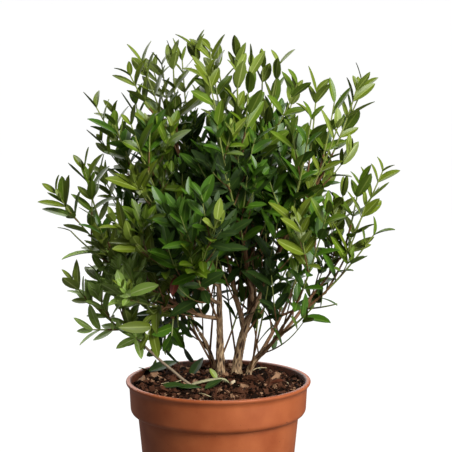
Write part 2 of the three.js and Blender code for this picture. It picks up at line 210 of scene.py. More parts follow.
@dataclass(frozen=True)
class MouldedPlastic(Finish):
    """Terracotta-coloured polypropylene, injection moulded: satin, faintly clouded, with specks of earth."""

    clouded: str = "#8e4521"
    cloud_mm: float = 26.0
    cloud_edges: Range = (0.27, 0.73)
    earth: str = "#4a2817"
    speck_mm: float = 2.6
    specks: float = 0.7
    speck_edge: float = 0.06
    speck_cover: float = 0.75
    gloss_spread: Range = (0.07, 0.09)
    grain_mm: float = 0.9
    grain_height_mm: float = 0.03
    grain_strength: float = 0.25

    def paint(self, tree: bpy.types.NodeTree, shader: bpy.types.Node) -> None:
        """Cloud the colour, scatter specks of earth and roughen the gloss with moulding grain.

        Args:
            tree: The material's nodes.
            shader: The shader that the pattern feeds.
        """
        place = {"Vector": add_node(tree, "ShaderNodeTexCoord").outputs["Object"]}
        cloud_look = {"Scale": per_size(self.cloud_mm), "Detail": 5.0}
        clouds = add_node(tree, "ShaderNodeTexNoise", cloud_look, place).outputs["Fac"]
        edges = {"From Min": self.cloud_edges[0], "From Max": self.cloud_edges[1]}
        patches = add_node(tree, "ShaderNodeMapRange", edges, {"Value": clouds})
        colours = {"A": linear(self.colour), "B": linear(self.clouded)}
        part = {"Factor": patches.outputs["Result"]}
        cloudy = add_node(tree, "ShaderNodeMix", colours, part, data_type="RGBA")
        speck_look = {"Scale": per_size(self.speck_mm), "Detail": 3.0}
        dots = add_node(tree, "ShaderNodeTexNoise", speck_look, place)
        full = self.specks + self.speck_edge
        edges = {"From Min": self.specks, "From Max": full, "To Max": self.speck_cover}
        sparse = add_node(tree, "ShaderNodeMapRange", edges, {"Value": dots.outputs["Fac"]})
        part = {"Factor": sparse.outputs["Result"], "A": cloudy.outputs["Result"]}
        speckled = add_node(tree, "ShaderNodeMix", {"B": linear(self.earth)}, part, data_type="RGBA")
        tree.links.new(speckled.outputs["Result"], shader.inputs["Base Color"])
        finer, duller = self.gloss_spread
        ends = {"To Min": self.roughness - finer, "To Max": self.roughness + duller}
        gloss = add_node(tree, "ShaderNodeMapRange", ends, {"Value": clouds})
        tree.links.new(gloss.outputs["Result"], shader.inputs["Roughness"])
        grain = add_node(tree, "ShaderNodeTexNoise", {"Scale": per_size(self.grain_mm)}, place)
        relief = {"Strength": self.grain_strength, "Distance": self.grain_height_mm * MM}
        bump = add_node(tree, "ShaderNodeBump", relief, {"Height": grain.outputs["Fac"]})
        tree.links.new(bump.outputs["Normal"], shader.inputs["Normal"])


@dataclass(frozen=True)
class PeatCompost(Finish):
    """Moist peat with bark fines: nearly black in the hollows, red-brown on the crumbs, without shine."""

    crumb: str = "#3d2317"
    crumb_mm: float = 5.0
    crumb_edges: Range = (0.4, 0.68)
    grain_mm: float = 1.4
    grain_height_mm: float = 0.8
    grain_strength: float = 0.8

    def paint(self, tree: bpy.types.NodeTree, shader: bpy.types.Node) -> None:
        """Mottle the peat and make its grain stand up.

        Args:
            tree: The material's nodes.
            shader: The shader that the pattern feeds.
        """
        place = {"Vector": add_node(tree, "ShaderNodeTexCoord").outputs["Object"]}
        crumb_look = {"Scale": per_size(self.crumb_mm), "Detail": 6.0}
        crumbs = add_node(tree, "ShaderNodeTexNoise", crumb_look, place)
        edges = {"From Min": self.crumb_edges[0], "From Max": self.crumb_edges[1]}
        spread = add_node(tree, "ShaderNodeMapRange", edges, {"Value": crumbs.outputs["Fac"]})
        colours = {"A": linear(self.colour), "B": linear(self.crumb)}
        part = {"Factor": spread.outputs["Result"]}
        mottled = add_node(tree, "ShaderNodeMix", colours, part, data_type="RGBA")
        tree.links.new(mottled.outputs["Result"], shader.inputs["Base Color"])
        grain_look = {"Scale": per_size(self.grain_mm), "Detail": 4.0}
        grain = add_node(tree, "ShaderNodeTexNoise", grain_look, place)
        relief = {"Strength": self.grain_strength, "Distance": self.grain_height_mm * MM}
        bump = add_node(tree, "ShaderNodeBump", relief, {"Height": grain.outputs["Fac"]})
        tree.links.new(bump.outputs["Normal"], shader.inputs["Normal"])


@dataclass(frozen=True)
class MyrtleBark(Finish):
    """Fissured bark: grey-tan plates over dark cracks on old stems, smooth and russet on young boughs."""

    plate: str = "#ccae86"
    crack: str = "#2b1a10"
    russet: str = "#704c31"
    strip_mm: float = 1.3
    strip_length_mm: float = 8.0
    streak_edges: Range = (0.42, 0.6)
    crack_edges: Range = (0.3, 0.62)
    fibre_height_mm: float = 0.25
    fibre_strength: float = 0.6

    def paint(self, tree: bpy.types.NodeTree, shader: bpy.types.Node) -> None:
        """Colour the bark by its relief, its age and the run of its strips.

        Args:
            tree: The material's nodes.
            shader: The shader that the pattern feeds.
        """
        relief = add_node(tree, "ShaderNodeAttribute", attribute_name="relief").outputs["Fac"]
        youth = add_node(tree, "ShaderNodeAttribute", attribute_name="youth").outputs["Fac"]
        along = add_node(tree, "ShaderNodeUVMap", uv_map="rind").outputs["UV"]
        strip_look = {"Scale": (1 / self.strip_mm, 1 / self.strip_length_mm, 1.0)}
        strips = add_node(tree, "ShaderNodeMapping", strip_look, {"Vector": along})
        place = {"Vector": strips.outputs["Vector"]}
        fibres = add_node(tree, "ShaderNodeTexNoise", {"Scale": 1.0, "Detail": 5.0}, place).outputs["Fac"]
        edges = {"From Min": self.streak_edges[0], "From Max": self.streak_edges[1]}
        streaks = add_node(tree, "ShaderNodeMapRange", edges, {"Value": fibres})
        colours = {"A": linear(self.colour), "B": linear(self.plate)}
        part = {"Factor": streaks.outputs["Result"]}
        old = add_node(tree, "ShaderNodeMix", colours, part, data_type="RGBA")
        edges = {"From Min": self.crack_edges[0], "From Max": self.crack_edges[1]}
        cracks = add_node(tree, "ShaderNodeMapRange", edges, {"Value": relief})
        part = {"Factor": cracks.outputs["Result"], "B": old.outputs["Result"]}
        cracked = add_node(tree, "ShaderNodeMix", {"A": linear(self.crack)}, part, data_type="RGBA")
        part = {"Factor": youth, "A": cracked.outputs["Result"]}
        aged = add_node(tree, "ShaderNodeMix", {"B": linear(self.russet)}, part, data_type="RGBA")
        tree.links.new(aged.outputs["Result"], shader.inputs["Base Color"])
        height = {"Strength": self.fibre_strength, "Distance": self.fibre_height_mm * MM}
        bump = add_node(tree, "ShaderNodeBump", height, {"Height": fibres})
        tree.links.new(bump.outputs["Normal"], shader.inputs["Normal"])


@dataclass(frozen=True)
class StudioFloor(Finish):
    """Pale matt card that runs out into white beyond the object's shadow."""

    clear_radius_mm: float = 105.0
    white_radius_mm: float = 305.0

    def paint(self, tree: bpy.types.NodeTree, shader: bpy.types.Node) -> None:
        """Let the card shine white outside the shadow's reach.

        Args:
            tree: The material's nodes.
            shader: The shader that the pattern feeds.
        """
        place = add_node(tree, "ShaderNodeTexCoord").outputs["Object"]
        reach = add_node(tree, "ShaderNodeVectorMath", links={0: place}, operation="LENGTH")
        ends = {"From Min": self.clear_radius_mm * MM, "From Max": self.white_radius_mm * MM}
        away = {"Value": reach.outputs["Value"]}
        edge = add_node(tree, "ShaderNodeMapRange", ends, away, interpolation_type="SMOOTHSTEP")
        colours = {"A": linear(self.colour), "B": linear(BLACK)}
        part = {"Factor": edge.outputs["Result"]}
        card = add_node(tree, "ShaderNodeMix", colours, part, data_type="RGBA")
        tree.links.new(card.outputs["Result"], shader.inputs["Base Color"])
        tree.links.new(edge.outputs["Result"], shader.inputs["Emission Strength"])
        shader.inputs["Emission Color"].default_value = linear(WHITE)


class LeafKind(Enum):
    """How old a leaf is, and the painted light and shade of its place in the crown, which set its colour."""

    SHADED = "shaded"
    GROWN = "grown"
    SUNLIT = "sunlit"
    YOUNG_AND_PAINTED_LIGHT = "young"
    WITHERED = "withered"
    PAINTED_SHADE = "painted_shade"
    PAINTED_LIGHT = "painted_light"


@dataclass(frozen=True)
class LeafFinish:
    """A myrtle leaf: leathery and glossy above, with a paler midrib, and matt and paler below."""

    blade: str
    midrib: str
    underside: str
    gloss: float = 0.36
    ior: float = 1.35
    midrib_dulling: float = 0.1
    under_roughness: float = 0.6
    under_ior: float = 1.3

    def materials(self, kind: LeafKind) -> list[bpy.types.Material]:
        """Make the materials of one kind of leaf.

        Args:
            kind: The leaf's kind, which names them.

        Returns:
            The materials of the blade, the midrib and the underside.
        """
        name = f"myrtle_leaf_{kind.value}"
        return [
            Finish(f"{name}_blade", self.blade, self.gloss, self.ior).material(),
            Finish(f"{name}_midrib", self.midrib, self.gloss + self.midrib_dulling, self.ior).material(),
            Finish(f"{name}_underside", self.underside, self.under_roughness, self.under_ior).material(),
        ]


# Waxy leaves: the light slides along their folds. The kinds are also lit and shaded copies of one green,
# painted light and shade: deep green inside the crown and yellower at its edge.
LEAF_FINISHES = {
    LeafKind.SHADED: LeafFinish("#37580e", "#527023", "#405e19"),
    LeafKind.GROWN: LeafFinish("#506812", "#728233", "#52681d"),
    LeafKind.SUNLIT: LeafFinish("#5c6b19", "#7e8b40", "#5a6a22"),
    # The young leaves' lighter green, which is also dealt out as painted light in the lower-left spot.
    LeafKind.YOUNG_AND_PAINTED_LIGHT: LeafFinish("#6a7a29", "#8e9954", "#65752d", 0.42),
    LeafKind.WITHERED: LeafFinish("#5a2114", "#7a3a22", "#6b3a26", 0.6),
    # Painted light: the brightest green, for the shaded sprays of the lower-left spot and for the low
    # rosette.
    LeafKind.PAINTED_LIGHT: LeafFinish("#85a147", "#a9bb77", "#7a9147", 0.45),
    # Painted shade: the darkest green, for the crown's heart and for the leaves on the compost under the
    # crown.
    LeafKind.PAINTED_SHADE: LeafFinish("#223809", "#384c16", "#2b4012", 0.6),
}
# Moulded plastic outside: a wide satin highlight and a cloudy, slightly worn orange-brown.
POT_PLASTIC = MouldedPlastic("terracotta_polypropylene", "#a55a32", 0.5, 1.38)
# The same plastic inside, darker and duller, with specks of earth.
DARKER_INNER_PLASTIC = MouldedPlastic(
    "darker_inner_polypropylene", "#6e3a22", 0.6, 1.49, clouded="#4a2616", earth="#24130b", specks=0.52
)
# Porous and wet: it swallows light, so its low IOR leaves hardly any sheen.
PEAT = PeatCompost("moist_peat_compost", "#130a06", 0.95, 1.15)
# Dry cork: matt, with dark fissures between pale plates.
STEM_BARK = MyrtleBark("fissured_myrtle_bark", "#86684a", 0.85, 1.45)
# A thin young rind, smooth and olive, that turns brown towards its tip.
LOW_RIND = MyrtleBark(
    "smooth_olive_rind",
    "#82825a",
    0.6,
    1.45,
    plate="#a3a279",
    crack="#5c5a3e",
    russet="#83705c",
    strip_length_mm=20.0,
)
# Sawn end grain, pale and dry.
CUT_WOOD = Finish("pale_cut_wood", "#c9b898", 0.8, 1.45)
# Thin rinds, red-brown where a twig has ripened and green with a slight shine where it is new.
TWIG_RIND = Finish("russet_twig_rind", "#6b4b2b", 0.62, 1.45)
SHOOT_RIND = Finish("green_shoot_rind", "#7a8440", 0.5, 1.45)
# Composted bark, from wet black to dry tan: broken, matt faces.
CHIP_FINISHES = (
    Finish("dark_bark_chip", "#170d07", 0.9, 1.15),
    Finish("brown_bark_chip", "#492c1d", 0.88, 1.2),
    Finish("tan_bark_chip", "#8f6d52", 0.85, 1.25),
)
# Dry stalks that catch the eye as pale lines on the peat.
STRAW = Finish("dry_pale_straw", "#c9b98c", 0.7, 1.45)
# Matt card under the pot and white paper behind it: only a soft shadow shows.
CARD = StudioFloor("pale_card", "#e6e4e0", 0.9)
BACKDROP = StudioFloor("white_backdrop", WHITE, 0.9)


# Limbs and the skeleton


@dataclass(frozen=True, eq=False)
class Limb:
    """A tapering limb along a plane curve from foot to tip, in millimetres in the plant's frame."""

    foot: Point
    bend: Point
    tip: Point
    radii: Range
    flare: float = 0.0
    flare_share: float = 0.12

    def point(self, t: float | Point) -> Point:
        """The limb's centre at one share of its length or at several."""
        t = np.asarray(t, float)[..., None]
        return (1 - t) ** 2 * self.foot + 2 * t * (1 - t) * self.bend + t**2 * self.tip

    def tangent(self, t: float | Point) -> Point:
        """The limb's direction.

        Args:
            t: One share of its length or several.

        Returns:
            A unit vector for each share.
        """
        t = np.asarray(t, float)[..., None]
        way = (1 - t) * (self.bend - self.foot) + t * (self.tip - self.bend)
        return way / np.linalg.norm(way, axis=-1, keepdims=True)

    def across(self, t: float | Point) -> tuple[Point, Point]:
        """Two unit vectors square to the limb and to each other.

        Args:
            t: One share of its length or several.

        Returns:
            The vector in the plane that the limb bends in, and the one square to that plane.
        """
        square = np.cross(self.bend - self.foot, self.tip - self.foot)
        if np.linalg.norm(square) < NEARLY_STRAIGHT:
            square = np.cross(self.tip - self.foot, UP)
        tangent = self.tangent(t)
        side = np.cross(square, tangent)
        side = side / np.linalg.norm(side, axis=-1, keepdims=True)
        return side, np.cross(side, tangent)

    def radius(self, t: float | Point) -> float | Point:
        """The limb's radius at one share of its length or at several."""
        taper = mix(self.radii[0], self.radii[1], t)
        return taper * (1 + self.flare * np.exp(-np.asarray(t) / self.flare_share))

    def part(self, start: float, end: float) -> "Limb":
        """Cut a stretch out of the limb.

        Args:
            start: The share of the limb's length where the stretch starts.
            end: The share where it ends.

        Returns:
            The stretch.
        """
        middle = start + end - 2 * start * end
        bend = (1 - start) * (1 - end) * self.foot + middle * self.bend + start * end * self.tip
        radii = (float(self.radius(start)), float(self.radius(end)))
        return Limb(self.point(start), bend, self.point(end), radii)

    @property
    def length(self) -> float:
        """The limb's length along its curve."""
        steps = np.diff(self.point(np.linspace(0, 1, LENGTH_STEPS)), axis=0)
        return float(np.linalg.norm(steps, axis=1).sum())


@dataclass(frozen=True)
class Stem:
    """A stem that stands at its foot on the ground and leans towards an azimuth."""

    name: str
    foot: Range
    azimuth: float
    lean: float
    length: float
    radii: Range


@dataclass(frozen=True)
class Mass:
    """A mass of foliage, by its furthest tip: an azimuth, a distance from the centre and a height."""

    name: str
    azimuth: float
    reach: float
    height: float

    @property
    def tip(self) -> Point:
        """The mass's furthest tip."""
        return around(self.azimuth, self.reach, self.height)


@dataclass(frozen=True)
class Bough:
    """A bough that leaves a stem at a share of its length and carries masses of foliage."""

    name: str
    stem: str
    at: float
    masses: tuple[Mass, ...]


STEMS = (
    Stem("stem_left", (2, 14), 180, 1, 108, (3.9, 2.2)),
    Stem("stem_middle", (19, 13), 5, 13, 82, (5, 3.3)),
    Stem("stem_right", (31, 7), 352, 28, 34, (3.3, 2.7)),
    Stem("stem_back", (-4, 27), 150, 24, 48, (2.1, 1.8)),
)
BOUGHS = (
    Bough(
        "bough_left_crest", "stem_left", 1,
        (Mass("crest_left", 183, 84, 345), Mass("crest_back_left", 130, 62, 347)),
    ),
    Bough(
        "bough_left_shoulder", "stem_left", 0.9,
        (Mass("shoulder_left", 181, 134, 298), Mass("shoulder_front_left", 224, 125, 285)),
    ),
    Bough(
        "bough_left_waist", "stem_left", 0.62,
        (Mass("waist_left", 184, 178, 209), Mass("skirt_front_left", 214, 124, 100)),
    ),
    Bough(
        "bough_front", "stem_left", 0.76,
        (Mass("waist_front", 271, 160, 196), Mass("waist_front_left", 228, 163, 190)),
    ),
    Bough(
        "bough_back_shoulder", "stem_back", 1,
        (Mass("shoulder_back_left", 137, 125, 300), Mass("waist_back_left", 146, 167, 222)),
    ),
    Bough(
        "bough_back_skirt", "stem_back", 0.6,
        (Mass("skirt_back_left", 155, 142, 128), Mass("skirt_back", 104, 132, 122)),
    ),
    Bough(
        "bough_front_crest", "stem_middle", 0.96,
        (Mass("crest_front", 296, 42, 336), Mass("shoulder_front", 268, 112, 285)),
    ),
    Bough(
        "bough_crest", "stem_middle", 1,
        (Mass("crest_right", 6, 66, 344), Mass("crest_back", 100, 42, 353)),
    ),
    Bough(
        "bough_back_right", "stem_middle", 0.85,
        (Mass("shoulder_back_right", 47, 128, 312), Mass("waist_back", 93, 162, 228)),
    ),
    Bough(
        "bough_right_shoulder", "stem_middle", 0.8,
        (Mass("shoulder_right", 3, 156, 318), Mass("shoulder_front_right", 318, 126, 292)),
    ),
    Bough(
        "bough_right_waist", "stem_right", 1,
        (Mass("waist_right", 357, 176, 235), Mass("waist_low_right", 349, 172, 170)),
    ),
    Bough(
        "bough_front_right", "stem_right", 0.75,
        (Mass("waist_front_right", 312, 162, 203), Mass("skirt_front_right", 328, 126, 100)),
    ),
    Bough(
        "bough_right_skirt", "stem_right", 0.55,
        (
            Mass("skirt_right", 4, 128, 98),
            Mass("waist_back_right", 43, 166, 222),
            Mass("skirt_back_right", 52, 134, 116),
        ),
    ),
    Bough(
        "bough_heart", "stem_middle", 0.66,
        (Mass("heart_front", 255, 52, 232), Mass("heart_back", 110, 50, 250)),
    ),
)
LOW_MASS = Mass("skirt_left", 184, 153, 104)


@dataclass
class Skeleton:
    """The stems, the boughs and each mass's own stem, worked out by the solids' rule."""

    stem_flare: float = 0.3
    stem_rise: float = 0.4
    bough_share: float = 0.4
    bough_sag: float = 0.16
    bough_taper: float = 0.7
    bough_thickness: float = 0.8
    next_mass_step: float = 0.27
    mass_parting: float = 0.7
    mass_bend: float = 0.45
    mass_droop: float = 0.14
    mass_radii: Range = (1.7, 0.7)
    mass_root_share: float = 0.9
    tip_leaf: float = 20.0
    low_start: Triple = (10, -24, 0)
    low_rise: float = 13.0
    low_bend: Triple = (-28, -35, 3.1)
    low_end: Triple = (-84, -8, 46)
    low_sag: float = 4.5
    low_radii: Triple = (1.8, 1.5, 1.3)
    stems: dict[str, Limb] = field(default_factory=dict)
    boughs: dict[str, Limb] = field(default_factory=dict)
    low_limbs: dict[str, Limb] = field(default_factory=dict)
    masses: dict[str, Limb] = field(default_factory=dict)

    def __post_init__(self) -> None:
        """Grow the limbs from the ground up."""
        for stem in STEMS:
            self.stems[stem.name] = self.stem_limb(stem)
        for bough in BOUGHS:
            limb = self.bough_limb(self.stems[bough.stem], bough)
            self.boughs[bough.name] = limb
            for i, mass in enumerate(bough.masses):
                self.masses[mass.name] = self.mass_stem(limb, 1 - self.next_mass_step * i, mass.tip)
        low = (self.low_start, self.low_bend, self.low_end)
        start, middle, end = (np.array(place, float) for place in low)
        self.low_limbs["low_foot"] = Limb(start, start + UP * self.low_rise, middle, self.low_radii[:2])
        self.low_limbs["low_limb"] = self.sagging(middle, end, self.low_sag, self.low_radii[1:])
        self.masses[LOW_MASS.name] = self.mass_stem(self.low_limbs["low_limb"], 1, LOW_MASS.tip)

    def stem_limb(self, stem: Stem) -> Limb:
        """Grow a stem that leaves the ground upright and then leans over.

        Args:
            stem: Where it stands, how it leans and how large it is.

        Returns:
            The stem's limb.
        """
        foot = np.array([*stem.foot, 0.0])
        lean = math.radians(stem.lean)
        tip = foot + around(stem.azimuth, stem.length * math.sin(lean), stem.length * math.cos(lean))
        return Limb(foot, foot + UP * self.stem_rise * stem.length, tip, stem.radii, self.stem_flare)

    def sagging(self, foot: Point, tip: Point, sag: float, radii: Range) -> Limb:
        """A limb that hangs a little under the straight line between its ends."""
        return Limb(foot, (foot + tip) / 2 - UP * sag, tip, radii)

    def bough_limb(self, stem: Limb, bough: Bough) -> Limb:
        """Grow a bough that heads for the middle of its masses and stops part of the way there.

        Args:
            stem: The stem that it leaves.
            bough: Where it leaves and which masses it carries.

        Returns:
            The bough's limb.
        """
        foot = stem.point(bough.at)
        aim = np.mean([mass.tip for mass in bough.masses], axis=0)
        tip = foot + (aim - foot) * self.bough_share
        sag = self.bough_sag * float(np.linalg.norm((tip - foot)[:2]))
        thickness = float(stem.radius(bough.at)) * self.bough_thickness
        return self.sagging(foot, tip - UP * sag, sag, (thickness, thickness * self.bough_taper))

    def mass_stem(self, bough: Limb, at: float, leaf_tip: Point) -> Limb:
        """Grow a mass's own stem, which leaves its bough and turns towards the mass's tip.

        Args:
            bough: The bough that it leaves.
            at: The share of the bough's length where it leaves.
            leaf_tip: The furthest tip of the mass's leaves.

        Returns:
            The mass's stem.
        """
        foot = bough.point(at)
        straight = unit(leaf_tip - foot)
        leave = unit(mix(straight, bough.tangent(at), 1 - self.mass_parting))
        tip = leaf_tip - straight * self.tip_leaf
        run = np.linalg.norm(tip - foot)
        bend = foot + (leave * self.mass_bend - UP * self.mass_droop) * run
        thick = min(self.mass_radii[0], float(bough.radius(at)) * self.mass_root_share)
        return Limb(foot, bend, tip, (thick, self.mass_radii[1]))


# Meshes


@dataclass(frozen=True, eq=False)
class Template:
    """A small mesh that is repeated: its vertices' own coordinates, its faces and their materials."""

    coords: np.ndarray
    loops: np.ndarray
    sizes: np.ndarray
    materials: np.ndarray

    @classmethod
    def of(cls, shape: bmesh.types.BMesh) -> "Template":
        """Read a shape and free it.

        Args:
            shape: The finished shape.

        Returns:
            The shape as arrays.
        """
        shape.verts.index_update()
        template = cls(
            np.array([v.co for v in shape.verts]),
            np.array([v.index for f in shape.faces for v in f.verts]),
            np.array([len(f.verts) for f in shape.faces]),
            np.array([f.material_index for f in shape.faces]),
        )
        shape.free()
        return template


def new_piece(
    name: str, mesh: bpy.types.Mesh, finishes: list[bpy.types.Material], slot: str, *nodes: str
) -> None:
    """Put a finished mesh into the scene.

    Args:
        name: The piece's name.
        mesh: Its mesh, in metres in the row frame.
        finishes: Its materials, in the order of its material slots.
        slot: The record's material slot that it belongs to. It is not used.
        *nodes: The solids that it stands for.
    """
    piece = bpy.data.objects.new(name, mesh)
    bpy.context.scene.collection.objects.link(piece)
    for finish in finishes:
        mesh.materials.append(finish)
    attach(piece, BODY)
    if nodes:
        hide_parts(*nodes)
    log.info("%s: %d faces", name, len(mesh.polygons))


def joined_mesh(name: str, template: Template, places: np.ndarray, smooth: bool = True) -> bpy.types.Mesh:
    """Repeat a template in one mesh.

    Args:
        name: The mesh's name.
        template: The shape that is repeated.
        places: Where each copy's vertices are, in millimetres in the plant's frame.
        smooth: Whether the faces are shaded smooth, apart from sharp folds.

    Returns:
        The mesh, in metres in the row frame.
    """
    copies, corners = places.shape[:2]
    mesh = bpy.data.meshes.new(name)
    mesh.vertices.add(copies * corners)
    mesh.loops.add(copies * len(template.loops))
    mesh.polygons.add(copies * len(template.sizes))
    mesh.vertices.foreach_set("co", ((places + GROUND) * MM).astype(np.float32).ravel())
    first = np.arange(copies)[:, None] * corners
    mesh.loops.foreach_set("vertex_index", (template.loops + first).astype(np.int32).ravel())
    ends = np.cumsum(np.tile(template.sizes, copies))
    mesh.polygons.foreach_set("loop_start", np.concatenate(([0], ends[:-1])).astype(np.int32))
    mesh.polygons.foreach_set("material_index", np.tile(template.materials, copies).astype(np.int32))
    mesh.polygons.foreach_set("use_smooth", np.full(copies * len(template.sizes), smooth))
    mesh.update(calc_edges=True)
    mesh.validate()
    if smooth:
        mesh.set_sharp_from_angle(angle=SMOOTH_FOLD)
    return mesh


def spun(profile: list[Range], steps: int) -> bmesh.types.BMesh:
    """Spin a closed profile about the upright axis.

    Args:
        profile: Radius and height of its corners in metres, from the axis out and back to the axis.
        steps: How many steps the full turn has.

    Returns:
        The shape, closed and facing outwards.
    """
    shape = bmesh.new()
    corners = [shape.verts.new((radius, 0, height)) for radius, height in profile]
    edges = [shape.edges.new(pair) for pair in zip(corners, corners[1:])]
    bmesh.ops.spin(
        shape,
        geom=corners + edges,
        cent=(0, 0, 0),
        axis=(0, 0, 1),
        angle=2 * math.pi,
        steps=steps,
        use_merge=True,
    )
    bmesh.ops.remove_doubles(shape, verts=shape.verts, dist=DOUBLES)
    bmesh.ops.dissolve_degenerate(shape, edges=shape.edges, dist=DOUBLES)
    bmesh.ops.recalc_face_normals(shape, faces=shape.faces)
    return shape


def add_rod(shape: bmesh.types.BMesh, sides: int, radius: float, depth: float, place: Matrix) -> None:
    """Add a closed upright rod to a shape.

    Args:
        shape: The shape that gets the rod.
        sides: How many sides it has.
        radius: Its radius.
        depth: Its length.
        place: Where its middle is.
    """
    bmesh.ops.create_cone(
        shape, cap_ends=True, segments=sides, radius1=radius, radius2=radius, depth=depth, matrix=place
    )


def mesh_of(name: str, shape: bmesh.types.BMesh, smooth: bool = True) -> bpy.types.Mesh:
    """Make a mesh of a finished shape and free the shape.

    Args:
        name: The mesh's name.
        shape: The shape, in metres in the row frame.
        smooth: Whether its faces are shaded smooth.

    Returns:
        The mesh.
    """
    mesh = bpy.data.meshes.new(name)
    shape.to_mesh(mesh)
    shape.free()
    mesh.polygons.foreach_set("use_smooth", np.full(len(mesh.polygons), smooth))
    return mesh


def tube_template(sides: int, rows: int) -> Template:
    """Make a closed tube of length one and radius one, which limbs are wrapped in.

    Args:
        sides: How many sides it has.
        rows: How many rows of faces run along it.

    Returns:
        The tube, whose third coordinate is a share of its length from 0 to 1.
    """
    shape = bmesh.new()
    add_rod(shape, sides, 1, 1, Matrix.Translation(UP / 2))
    upright = [e for e in shape.edges if abs(e.verts[0].co.z - e.verts[1].co.z) > 0.5]
    bmesh.ops.subdivide_edges(shape, edges=upright, cuts=rows - 1, use_grid_fill=True)
    return Template.of(shape)


def tubes(name: str, limbs: list[Limb], sides: int, rows: int) -> bpy.types.Mesh:
    """Make round tubes along limbs, in one mesh.

    Args:
        name: The mesh's name.
        limbs: The limbs, in millimetres in the plant's frame.
        sides: How many sides each tube has.
        rows: How many rows of faces run along each tube.

    Returns:
        The mesh.
    """
    template = tube_template(sides, rows)
    x, y, t = template.coords.T
    places = []
    for limb in limbs:
        side, square = limb.across(t)
        radius = limb.radius(t)[:, None]
        places.append(limb.point(t) + radius * (side * x[:, None] + square * y[:, None]))
    return joined_mesh(name, template, np.array(places))


# Leaves


@dataclass(frozen=True)
class Leaf:
    """One leaf: its place, its bearing, its size and how it is bent."""

    root: Point
    along: Point
    normal: Point
    length: float
    width: float
    fold: float
    curl: float
    twist: float


@dataclass(frozen=True)
class LeafShape:
    """The form that every leaf shares: pointed at both ends, with a midrib and an underside of its own."""

    columns: tuple[float, ...] = (-1.0, -0.55, -0.1, 0.1, 0.55, 1.0)
    under_columns: tuple[float, ...] = (-1.0, -0.12, 0.12, 1.0)
    rows: int = 6
    row_crowding: float = 0.5
    base: float = 0.62
    point: float = 0.72
    stalk: float = 0.07
    thickness: float = 0.5
    least_curl: float = 1e-3
    doubles: float = 1e-4
    near_middle: float = 0.05

    def row(self, y: float) -> float:
        """A row's share of the leaf's length, for a place from -1 to 1: rows are closer at both ends."""
        return mix((y + 1) / 2, (1 + math.sin(y * math.pi / 2)) / 2, self.row_crowding)

    def add_side(
        self, shape: bmesh.types.BMesh, columns: tuple[float, ...], depth: float, blade: int
    ) -> None:
        """Add one side of a leaf to its shape.

        Args:
            shape: The leaf's shape.
            columns: Where the side's columns of vertices stand, from -1 to 1.
            depth: How far the side lies from the leaf's edge: 0 above and -1 below.
            blade: The number of its blade's material.
        """
        before = set(shape.faces)
        across = len(columns) - 1
        grid = bmesh.ops.create_grid(shape, x_segments=across, y_segments=self.rows, size=1)
        for vertex in grid["verts"]:
            column = columns[round((vertex.co.x + 1) / 2 * across)]
            vertex.co = (column, self.row(vertex.co.y), 0 if abs(column) == 1 else depth)
        faces = [f for f in shape.faces if f not in before]
        if depth < 0:
            bmesh.ops.reverse_faces(shape, faces=faces)
        for face in faces:
            face.material_index = 1 if abs(face.calc_center_median().x) < self.near_middle else blade

    def template(self) -> Template:
        """Make the leaf that all leaves are bent from.

        Returns:
            The leaf: x runs across from -1 to 1, y along from 0 to 1, and z is -1 on the underside.
        """
        shape = bmesh.new()
        self.add_side(shape, self.columns, 0, 0)
        self.add_side(shape, self.under_columns, -1, 2)
        bmesh.ops.remove_doubles(shape, verts=shape.verts, dist=self.doubles)
        return Template.of(shape)

    def places(self, template: Template, leaves: list[Leaf]) -> np.ndarray:
        """Bend the template to each leaf.

        Args:
            template: The leaf's shape in its own coordinates.
            leaves: The leaves.

        Returns:
            Every leaf's vertices, in millimetres in the plant's frame.
        """
        across, share, under = template.coords.T
        widest = self.base / (self.base + self.point)
        outline = (share / widest) ** self.base * ((1 - share) / (1 - widest)) ** self.point
        outline = np.maximum(self.stalk, outline)
        names = [entry.name for entry in fields(Leaf)]
        rows = {name: np.array([getattr(leaf, name) for leaf in leaves])[:, None] for name in names}
        curl = rows["curl"] + self.least_curl
        arc = curl * share
        run = np.sin(arc) / curl * rows["length"]
        drop = (1 - np.cos(arc)) / curl * rows["length"]
        half = across * outline * rows["width"] / 2
        rise = np.abs(half) * np.sin(rows["fold"]) + under * self.thickness
        spread = half * np.cos(rows["fold"])
        turn = rows["twist"] * share
        level = spread * np.cos(turn) - rise * np.sin(turn)
        raised = spread * np.sin(turn) + rise * np.cos(turn)
        ahead = run + raised * np.sin(arc)
        lifted = raised * np.cos(arc) - drop
        along, normal = rows["along"], rows["normal"]
        side = np.cross(along, normal)
        return rows["root"] + along * ahead[..., None] + side * level[..., None] + normal * lifted[..., None]

    def build(
        self, name: str, kind: LeafKind, leaves: list[Leaf], slot: str, *nodes: str
    ) -> None:
        """Build leaves of one kind as one piece.

        Args:
            name: The piece's name.
            kind: Their kind, which sets their colours.
            leaves: The leaves.
            slot: The record's material slot that they belong to.
            *nodes: The solids that they stand for.
        """
        template = self.template()
        mesh = joined_mesh(name, template, self.places(template, leaves))
        new_piece(name, mesh, LEAF_FINISHES[kind].materials(kind), slot, *nodes)


# The pot


def profile_place(vertex: bmesh.types.BMVert) -> Vector:
    """A vertex's radius from the upright axis and its height."""
    return Vector((math.hypot(vertex.co.x, vertex.co.y), vertex.co.z))


